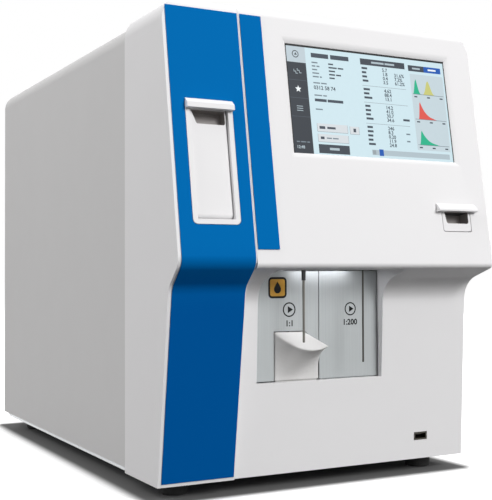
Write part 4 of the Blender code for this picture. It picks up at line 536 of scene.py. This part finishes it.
def displayPicture():
    made = [patch(0, 0, 1, 1, 1, "sky")]
    made += [patch(0.765, 0.155, 0.985, 0.90, 2, "haze")]
    # black edge of the panel, widest at the top, where it is also painted shadow of the bezel over
    # the sunk glass
    made += [patch(-0.005, -0.008, 1.005, 0.018, 12, "black"),
             patch(-0.005, 0, 0.005, 1.0, 12, "black"),
             patch(0.9945, 0, 1.005, 1.0, 12, "black")]
    # side bar with its tiles
    made += [patch(0, 0, 0.116, 1, 2, "night"), patch(0, 0.012, 0.116, 0.165, 3, "homeTile")]
    for v in (0.330, 0.495, 0.665):
        made.append(patch(0, v - 0.002, 0.116, v + 0.002, 3, "nightLine"))
    made += [dot(0.058, 0.088, 0.0031, 4, "night"), dot(0.058, 0.088, 0.0024, 5, "homeTile"),
             dot(0.0590, 0.088, 0.0015, 6, "night", 3)]
    ticks = ((0.040, 0.250), (0.050, 0.268), (0.060, 0.240), (0.072, 0.262))
    for step, (u, v) in enumerate(ticks):
        made.append(patch(u, v - 0.003, u + 0.013, v + 0.003, 4 + step, "paleInk"))
        made.append(patch(u, v - 0.020, u + 0.003, v + 0.003, 4 + step, "paleInk"))
    star = dot(0.058, 0.412, 0.0030, 4, "white", 10)
    for number, vert in enumerate(star.data.vertices):
        if number % 2:
            vert.co *= display["starWaist"]
    made.append(star)
    for row in range(3):
        made.append(patch(0.040, 0.567 + 0.020 * row, 0.076, 0.573 + 0.020 * row, 4, "paleInk"))
    made += wordRow(0.022, 0.895, (0.018, 0.030, 0.016), 0.010, 4, "greyInk")
    made.append(numbers(0.020, 0.955, "12:48", display["clock"], 4, "paleInk"))
    # heading and facts about the sample
    made += wordRow(0.150, 0.082, (0.104, 0.112), 0.042, 4, "ink", 0.012)
    rows = (((0.036,), (0.030,)), ((0.022, 0.018), (0.050, 0.034)), ((0.030,), (0.038,)),
            ((0.040,), (0.036, 0.030)), ((0.036, 0.012), (0.032,)))
    for row, (left, right) in enumerate(rows):
        v = 0.150 + 0.033 * row
        made += wordRow(0.150, v, left, 0.013, 4, "greyInk")
        made += wordRow(0.250, v, right, 0.014, 4, "ink")
    made += wordRow(0.150, 0.340, (0.040, 0.034), 0.012, 4, "greyInk")
    made.append(numbers(0.150, 0.400, "0312 58 74", display["code"], 4, "ink"))
    made += wordRow(0.150, 0.455, (0.046, 0.022), 0.012, 4, "greyInk")
    made += wordRow(0.150, 0.500, (0.070, 0.094), 0.026, 4, "ink")
    made += wordRow(0.150, 0.585, (0.042,), 0.012, 4, "greyInk")
    # buttons
    for u0, v0, u1, v1, face, edge in ((0.150, 0.715, 0.330, 0.788, "button", "buttonEdge"),
                                       (0.346, 0.722, 0.400, 0.792, "button", "buttonEdge"),
                                       (0.150, 0.812, 0.330, 0.882, "button", "buttonEdge"),
                                       (0.150, 0.906, 0.330, 0.984, "slate", "night")):
        made += [patch(u0 - 0.002, v0, u1 + 0.002, v1 + 0.004, 4, edge),
                 patch(u0, v0, u1, v1, 5, face)]
    made += wordRow(0.162, 0.752, (0.034,), 0.026, 6, "ink")
    made += wordRow(0.208, 0.752, (0.050,), 0.020, 6, "ink")
    made += wordRow(0.366, 0.757, (0.016,), 0.034, 6, "ink")
    made += wordRow(0.164, 0.847, (0.022,), 0.024, 6, "ink")
    made += wordRow(0.200, 0.847, (0.030, 0.034), 0.012, 6, "greyInk")
    made += wordRow(0.212, 0.945, (0.058,), 0.022, 6, "paleInk")
    # table of readings
    made += [patch(0.450, 0.058, 0.735, 0.118, 4, "slate"),
             patch(0.758, 0.070, 0.862, 0.128, 4, "slate"),
             patch(0.862, 0.070, 0.976, 0.128, 4, "accent")]
    made += wordRow(0.520, 0.088, (0.080, 0.062), 0.018, 5, "paleInk")
    made += wordRow(0.785, 0.099, (0.052,), 0.016, 5, "paleInk")
    made += wordRow(0.890, 0.099, (0.054,), 0.016, 5, "white")
    groups = ((0.150, ((0.036, "5.7", ""), (0.028, "1.8", "31.6%"), (0.030, "0.4", "7.2%"),
                       (0.036, "3.5", "61.2%"))),
              (0.352, ((0.040, "4.62", ""), (0.034, "88.4", ""), (0.050, "13.1", ""))),
              (0.512, ((0.032, "14.2", ""), (0.034, "41.0", ""), (0.030, "30.7", ""),
                       (0.044, "34.6", ""))),
              (0.712, ((0.034, "246", ""), (0.036, "8.3", ""), (0.032, "0.20", ""),
                       (0.030, "11.9", ""), (0.042, "24.8", ""))))
    for top, rowsHere in groups:
        for row, (width, value, percent) in enumerate(rowsHere):
            v = top + 0.040 * row
            made += wordRow(0.455, v, (width,), 0.020, 4, "ink")
            made.append(numbers(0.585, v + 0.016, value, display["figure"], 4, "ink"))
            if percent:
                made.append(numbers(0.660, v + 0.016, percent, display["figure"], 4, "ink"))
    for v in (0.318, 0.478, 0.678):
        made.append(patch(0.450, v - 0.002, 0.730, v + 0.002, 4, "buttonEdge"))
    # charts
    charts = ((0.352, ((0.775, 0.830, 0.150, "teal", lambda s: bell(s, 0.40, 0.26)),
                       (0.838, 0.925, 0.140, "olive", lambda s: bell(s, 0.45, 0.24)))),
              (0.598, ((0.795, 0.920, 0.185, "red", tail),)),
              (0.848, ((0.785, 0.925, 0.150, "teal", tail),)))
    for base, humps in charts:
        for u0, u1, height, ink, shape in humps:
            made.append(hump(u0, u1, base, height, 5, ink, shape))
        made.append(patch(0.772, base - 0.002, 0.978, base + 0.003, 6, "greyInk"))
        for u in (0.780, 0.865, 0.950):
            made += wordRow(u, base + 0.026, (0.020,), 0.013, 6, "ink")
    made += wordRow(0.690, 0.620, (0.042,), 0.020, 4, "ink")
    made += wordRow(0.700, 0.755, (0.026,), 0.014, 4, "greyInk")
    made += wordRow(0.700, 0.825, (0.022,), 0.014, 4, "greyInk")
    # scroll bar
    made += [patch(0.470, 0.925, 0.975, 0.975, 4, "paleInk"),
             patch(0.515, 0.918, 0.542, 0.980, 5, "accent"),
             patch(0.474, 0.930, 0.494, 0.970, 5, "buttonEdge")]
    picture = settled(joined(made))
    picture.data.transform(faceTurn)
    return dressed(picture, "displayPicture", None, "case")


displayPicture()
print("display picture made")


# marks printed on the start plates
plateFace = -0.200
marks = {"lift": 0.00004, "leftPlay": (-0.0285, 0.1438), "leftRadius": 0.0060,
         "rightPlay": (0.0312, 0.1433), "rightRadius": 0.0056, "ringBore": 0.82, "arrow": 0.55,
         "arrowShift": 0.06, "leftRatio": (-0.0282, 0.1304), "rightRatio": (0.0308, 0.1301),
         "ratioSize": 0.0066, "ratioBold": 0.0002}
# the badge's sizes after its side, and the drop's, are shares of that side
badgeShape = {"place": (-0.0394, 0.1618), "side": 0.0172, "corner": 0.2, "rim": 0.10,
              "dropBelow": 0.08, "dropRadius": 0.19, "dropTip": 0.20}
markInk = surface("markInk", srgb(14, 14, 16), 0.5, mottle=0.05, grain=1500,
                  Specular_IOR_Level=0.1)
badgeAmber = surface("badgeAmber", srgb(206, 152, 34), 0.42, mottle=0.04, grain=1500)


def disc(x, z, radius, sides, lift, turn=0.0):
    deselect()
    bpy.ops.mesh.primitive_circle_add(vertices=sides, radius=radius, fill_type="NGON",
                                      location=(x, plateFace - lift, z),
                                      rotation=(math.radians(90), math.radians(turn), 0))
    return settled(bpy.context.object)


def ring(x, z, outer, inner, lift, sides=48):
    piece = disc(x, z, outer, sides, lift)
    activate(piece)
    bpy.ops.object.mode_set(mode="EDIT")
    bpy.ops.mesh.select_all(action="SELECT")
    bpy.ops.mesh.inset(thickness=outer - inner)
    bpy.ops.mesh.delete(type="FACE")
    bpy.ops.object.mode_set(mode="OBJECT")
    return piece


def playMark(name, place, radius, body):
    x, z = place
    circle = ring(x, z, radius, radius * marks["ringBore"], marks["lift"])
    arrowX = x + radius * marks["arrowShift"]
    arrow = disc(arrowX, z, radius * marks["arrow"], 3, marks["lift"], 90)
    return dressed(joined([circle, arrow]), name, markInk, body)


def ratioMark(name, place, body, words):
    x, z = place
    deselect()
    bpy.ops.object.text_add(location=(x, plateFace - marks["lift"], z),
                            rotation=(math.radians(90), 0, 0))
    text = bpy.context.object
    text.data.body = words
    text.data.size = marks["ratioSize"]
    text.data.offset = marks["ratioBold"]
    text.data.align_x = "CENTER"
    text.data.resolution_u = 3
    bpy.ops.object.convert(target="MESH")
    return dressed(settled(bpy.context.object), name, markInk, body)


def dropMark():
    # an amber badge with a dark edge and a dark drop in it
    x, z = badgeShape["place"]
    side = badgeShape["side"]
    deselect()
    bpy.ops.mesh.primitive_plane_add(size=side, location=(x, plateFace - marks["lift"], z),
                                     rotation=(math.radians(90), 0, 0))
    badge = settled(bpy.context.object)
    modified(badge, "BEVEL", width=side * badgeShape["corner"], segments=6, affect="VERTICES")
    activate(badge)
    bpy.ops.object.mode_set(mode="EDIT")
    bpy.ops.mesh.select_all(action="SELECT")
    bpy.ops.mesh.inset(thickness=side * badgeShape["rim"])
    bpy.ops.object.mode_set(mode="OBJECT")
    badge.data.materials.append(markInk)
    badge.data.materials.append(badgeAmber)
    middle = max(badge.data.polygons, key=lambda face: face.area)
    middle.material_index = 1
    dropZ = z - side * badgeShape["dropBelow"]
    drop = disc(x, dropZ, side * badgeShape["dropRadius"], 32, 2 * marks["lift"])
    top = max(vert.co.z for vert in drop.data.vertices)
    for vert in drop.data.vertices:
        above = vert.co.z - dropZ
        if above > 0:
            share = above / (top - dropZ)
            vert.co.x = x + (vert.co.x - x) * (1 - share ** 3)
            vert.co.z += side * badgeShape["dropTip"] * share ** 2
    drop.data.materials.append(markInk)
    return dressed(joined([badge, drop]), "dropBadge", None, "case")


dropMark()
playMark("leftPlayMark", marks["leftPlay"], marks["leftRadius"], "case")
playMark("rightPlayMark", marks["rightPlay"], marks["rightRadius"], "press_plate")
ratioMark("leftRatioMark", marks["leftRatio"], "case", "1:1")
ratioMark("rightRatioMark", marks["rightRatio"], "press_plate", "1:200")
print("plate marks made")


# rear: cross recessed screws, nozzle nuts and board sockets
rearFace = 0.2325
# a face looks along Y when its normal has more than this much Y
facing = 0.9


def cylinder(x, y, z, radius, depth, sides, turn=0):
    # lies along Y and is turned about it
    deselect()
    bpy.ops.mesh.primitive_cylinder_add(vertices=sides, radius=radius, depth=depth,
                                        location=(x, y, z),
                                        rotation=(math.radians(90), math.radians(turn), 0))
    return settled(bpy.context.object)


def block(x, y, z, size, turn=0):
    # turned about Y
    deselect()
    bpy.ops.mesh.primitive_cube_add(size=1, location=(x, y, z),
                                    rotation=(0, math.radians(turn), 0))
    piece = bpy.context.object
    piece.scale = size
    return settled(piece)


screw = {"radius": 0.0035, "height": 0.0022, "sides": 28, "seat": 0.0003, "rim": 0.0009,
         "rimSteps": 4, "crossReach": 0.0022, "crossWidth": 0.0007, "crossDepth": 0.0012,
         "crossTurns": (45, 135), "smooth": 30, "shankRadius": 0.0018, "shankSides": 20,
         "shankShorter": 0.0012, "fanMiddle": (0.085, 0.300), "fanReach": 0.03575}


def crossScrew(x, z):
    # pan head: a short cylinder, its rim rounded, with two crossing slots cut in
    seat = rearFace + screw["seat"]
    head = cylinder(x, seat + screw["height"] / 2, z, screw["radius"], screw["height"],
                    screw["sides"])
    modified(head, "BEVEL", width=screw["rim"], segments=screw["rimSteps"],
             limit_method="ANGLE")
    slotSize = (2 * screw["crossReach"], 2 * screw["crossDepth"], screw["crossWidth"])
    for turn in screw["crossTurns"]:
        slotCutter = block(x, seat + screw["height"], z, slotSize, turn)
        modified(head, "BOOLEAN", object=slotCutter, operation="DIFFERENCE", solver="EXACT")
        bpy.data.objects.remove(slotCutter, do_unlink=True)
    return smoothed(head, screw["smooth"])


for number in range(1, 5):
    node = "rear_screw_%d" % number
    low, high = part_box(node)
    middle = (low + high) / 2
    head = crossScrew(middle.x, middle.z)
    shank = smoothed(cylinder(middle.x, middle.y - screw["shankShorter"] / 2, middle.z,
                              screw["shankRadius"], high.y - low.y - screw["shankShorter"],
                              screw["shankSides"]))
    dressed(joined([head, shank]), "panScrew%d" % number, needleSteel, "case",
            (node,))
fanX, fanZ = screw["fanMiddle"]
fanReach = (-screw["fanReach"], screw["fanReach"])
fanScrews = [crossScrew(fanX + x, fanZ + z) for x in fanReach for z in fanReach]
dressed(joined(fanScrews), "fanScrews", needleSteel, "case")

nozzleNut = {"radius": 0.0082, "depth": 0.0036, "lift": 0.0019, "sides": 6, "turn": 30,
             "rim": 0.0024, "edge": 0.0004, "smooth": 30, "middle": (-0.0855, 0.060),
             "pitch": 0.030}


def hexNut(x, z):
    nut = cylinder(x, rearFace + nozzleNut["lift"], z, nozzleNut["radius"], nozzleNut["depth"],
                   nozzleNut["sides"], nozzleNut["turn"])
    activate(nut)
    bpy.ops.object.mode_set(mode="EDIT")
    bm = bmesh.from_edit_mesh(nut.data)
    for face in bm.faces:
        face.select = abs(face.normal.y) > facing
    bmesh.update_edit_mesh(nut.data)
    bpy.ops.mesh.inset(thickness=nozzleNut["rim"])
    bpy.ops.mesh.bridge_edge_loops()
    bpy.ops.object.mode_set(mode="OBJECT")
    modified(nut, "BEVEL", width=nozzleNut["edge"], segments=2, limit_method="ANGLE")
    return smoothed(nut, nozzleNut["smooth"])


nutX, nutZ = nozzleNut["middle"]
nuts = [hexNut(nutX + step * nozzleNut["pitch"], nutZ) for step in (-1, 0, 1)]
dressed(joined(nuts), "nozzleNuts", blackPlastic, "case")

# each place is its height above the floor, then the opening's width and height; the tongue's
# shift, width and height are shares of the opening
socket = {"x": 0.02995, "middle": 0.0009, "depth": 0.0014, "wall": 0.0007, "mouth": 0.0011,
          "mouthBelow": 0.001, "tongueShift": 0.12, "tongueWidth": 0.26, "tongueDepth": 0.0010,
          "tongueHeight": 0.72, "edge": 0.0002,
          "places": ((0.152, 0.0072, 0.0145), (0.172, 0.0072, 0.0145),
                     (0.192, 0.0072, 0.0145), (0.2075, 0.0080, 0.0085))}


def boardSocket(z, width, height):
    # meant as a metal shell around a dark mouth with a tongue in it, but the inset and the move
    # leave no mouth: the shell stays solid and hides the tongue, a known fault
    middle = rearFace + socket["middle"]
    shell = block(socket["x"], middle, z, (width, socket["depth"], height))
    activate(shell)
    bpy.ops.object.mode_set(mode="EDIT")
    bm = bmesh.from_edit_mesh(shell.data)
    for face in bm.faces:
        face.select = face.normal.y > facing
    bmesh.update_edit_mesh(shell.data)
    bpy.ops.mesh.inset(thickness=socket["wall"])
    bpy.ops.transform.translate(value=(0, -socket["mouth"], 0))
    bpy.ops.object.mode_set(mode="OBJECT")
    shell.data.materials.append(platedSheet)
    shell.data.materials.append(blackPlastic)
    for face in shell.data.polygons:
        if face.normal.y > facing and face.center.y < rearFace + socket["mouthBelow"]:
            face.material_index = 1
    tongue = block(socket["x"] - width * socket["tongueShift"], middle, z,
                   (width * socket["tongueWidth"], socket["tongueDepth"],
                    height * socket["tongueHeight"]))
    tongue.data.materials.append(blackPlastic)
    return [shell, tongue]


sockets = []
for place in socket["places"]:
    sockets += boardSocket(*place)
board = joined(sockets)
modified(board, "BEVEL", width=socket["edge"], segments=2, limit_method="ANGLE")
dressed(smoothed(board), "boardSockets", None, "case")
print("rear details made")


# floor, light and camera; fade and contact are distances from the case's footprint, over which
# the floor's glow comes up to full, and its colour rises from a painted shadow to full white
studio = {"caseLow": (-0.1475, -0.2030), "caseHigh": (0.1475, 0.2450), "fade": 0.026,
          "glow": 0.62, "bounce": (0.03, 0.03, 0.03, 1), "white": 0.86, "under": 0.16,
          "contact": 0.012, "size": 24, "middle": (0, 4, 0), "roughness": 0.9, "ambient": 0.46}


def counted(add, link, operation, first, second):
    # one Math node; each input is a number or another node's output
    node = add.new("ShaderNodeMath")
    node.operation = operation
    for index, value in enumerate((first, second)):
        if isinstance(value, (int, float)):
            node.inputs[index].default_value = value
        else:
            link.new(value, node.inputs[index])
    return node.outputs["Value"]


def beyondCase(add, link, place, axis):
    # how far a floor point lies outside the case along one axis
    low, high = studio["caseLow"][axis], studio["caseHigh"][axis]
    middle = counted(add, link, "SUBTRACT", place.outputs[axis], (low + high) / 2)
    away = counted(add, link, "ABSOLUTE", middle, 0)
    outside = counted(add, link, "SUBTRACT", away, (high - low) / 2)
    return counted(add, link, "MAXIMUM", outside, 0)


def seenRay(add, link):
    # 1 for a ray that the camera sees straight, mirrored or through something clear, else 0
    path = add.new("ShaderNodeLightPath")
    seen = counted(add, link, "MAXIMUM", path.outputs["Is Camera Ray"],
                   path.outputs["Is Glossy Ray"])
    return counted(add, link, "MAXIMUM", seen, path.outputs["Is Transmission Ray"])


def studioFloor():
    # white where it is seen, darker as a reflector, and a painted shadow close to the case:
    # coloured dark there, where the photo's shadow is darkest
    deselect()
    bpy.ops.mesh.primitive_plane_add(size=studio["size"], location=studio["middle"])
    floor = settled(bpy.context.object)
    floor.name = "studioFloor"
    material = bpy.data.materials.new("studioFloor")
    material.use_nodes = True
    add, link = graph(material)
    shader = add["Principled BSDF"]
    shader.inputs["Roughness"].default_value = studio["roughness"]
    shader.inputs["Specular IOR Level"].default_value = 0.0
    where = add.new("ShaderNodeTexCoord")
    place = add.new("ShaderNodeSeparateXYZ")
    link.new(where.outputs["Object"], place.inputs["Vector"])
    away = counted(add, link, "ADD", beyondCase(add, link, place, 0),
                   beyondCase(add, link, place, 1))
    share = add.new("ShaderNodeMapRange")
    share.interpolation_type = "SMOOTHSTEP"
    share.inputs["From Max"].default_value = studio["fade"]
    share.inputs["To Max"].default_value = studio["glow"]
    link.new(away, share.inputs["Value"])
    # painted shadow: the floor's own colour runs from dark at the case to white a little way out
    shade = add.new("ShaderNodeMapRange")
    shade.interpolation_type = "SMOOTHSTEP"
    shade.inputs["From Max"].default_value = studio["contact"]
    shade.inputs["To Min"].default_value = studio["under"]
    shade.inputs["To Max"].default_value = studio["white"]
    link.new(away, shade.inputs["Value"])
    link.new(shade.outputs["Result"], shader.inputs["Base Color"])
    glow = add.new("ShaderNodeEmission")
    link.new(share.outputs["Result"], glow.inputs["Strength"])
    shown = add.new("ShaderNodeAddShader")
    link.new(shader.outputs["BSDF"], shown.inputs[0])
    link.new(glow.outputs["Emission"], shown.inputs[1])
    bounce = add.new("ShaderNodeBsdfDiffuse")
    bounce.inputs["Color"].default_value = studio["bounce"]
    total = add.new("ShaderNodeMixShader")
    link.new(seenRay(add, link), total.inputs["Fac"])
    link.new(bounce.outputs["BSDF"], total.inputs[1])
    link.new(shown.outputs["Shader"], total.inputs[2])
    link.new(total.outputs["Shader"], add["Material Output"].inputs["Surface"])
    floor.data.materials.append(material)


def studioWorld():
    # white where it is seen, dimmer as a source of light
    world = bpy.data.worlds.new("studio")
    bpy.context.scene.world = world
    world.use_nodes = True
    add, link = graph(world)
    background = add["Background"]
    background.inputs["Color"].default_value = (1, 1, 1, 1)
    strength = add.new("ShaderNodeMapRange")
    strength.inputs["To Min"].default_value = studio["ambient"]
    strength.inputs["To Max"].default_value = 1.0
    link.new(seenRay(add, link), strength.inputs["Value"])
    link.new(strength.outputs["Result"], background.inputs["Strength"])


# name: (place, height of the point that it is aimed at, energy)
lampSize = 1.6
lamps = {"keyLight": ((1.25, -3.30, 2.00), 0.2, 118),
         "leftFill": ((-2.0, -0.10, 1.7), 0.2, 33),
         "topLight": ((0, 0.1, 2.6), 0.3, 5),
         "backFill": ((1.6, 2.6, 1.2), 0.2, 46)}


def softLight(name, place, aimHeight, energy):
    lamp = bpy.data.lights.new(name, "AREA")
    lamp.shape = "DISK"
    lamp.size = lampSize
    lamp.energy = energy
    holder = bpy.data.objects.new(name, lamp)
    bpy.context.scene.collection.objects.link(holder)
    holder.location = place
    aim = Vector((0, 0, aimHeight)) - Vector(place)
    holder.rotation_euler = aim.to_track_quat("-Z", "Y").to_euler()


def photoCamera():
    view = {"place": Vector((-0.4446, -0.9055, 0.1751)), "yaw": math.radians(28.08),
            "pitch": math.radians(1.22), "roll": math.radians(-0.18), "lens": 72.18, "sensor": 36}
    lens = bpy.data.cameras.new("photoCamera")
    lens.lens = view["lens"]
    lens.sensor_width = view["sensor"]
    camera = bpy.data.objects.new("photoCamera", lens)
    bpy.context.scene.collection.objects.link(camera)
    yaw, pitch, roll = view["yaw"], view["pitch"], view["roll"]
    ahead = Vector((math.sin(yaw) * math.cos(pitch), math.cos(yaw) * math.cos(pitch),
                    math.sin(pitch)))
    side = Vector((math.cos(yaw), -math.sin(yaw), 0))
    up = side.cross(ahead)
    right = side * math.cos(roll) + up * math.sin(roll)
    top = up * math.cos(roll) - side * math.sin(roll)
    turn = Matrix((right, top, -ahead)).transposed().to_4x4()
    camera.matrix_world = Matrix.Translation(view["place"]) @ turn
    bpy.context.scene.camera = camera


studioFloor()
studioWorld()
for name, settings in lamps.items():
    softLight(name, *settings)
photoCamera()
bpy.context.scene.view_settings.view_transform = "Standard"
print("floor, lights and camera placed")
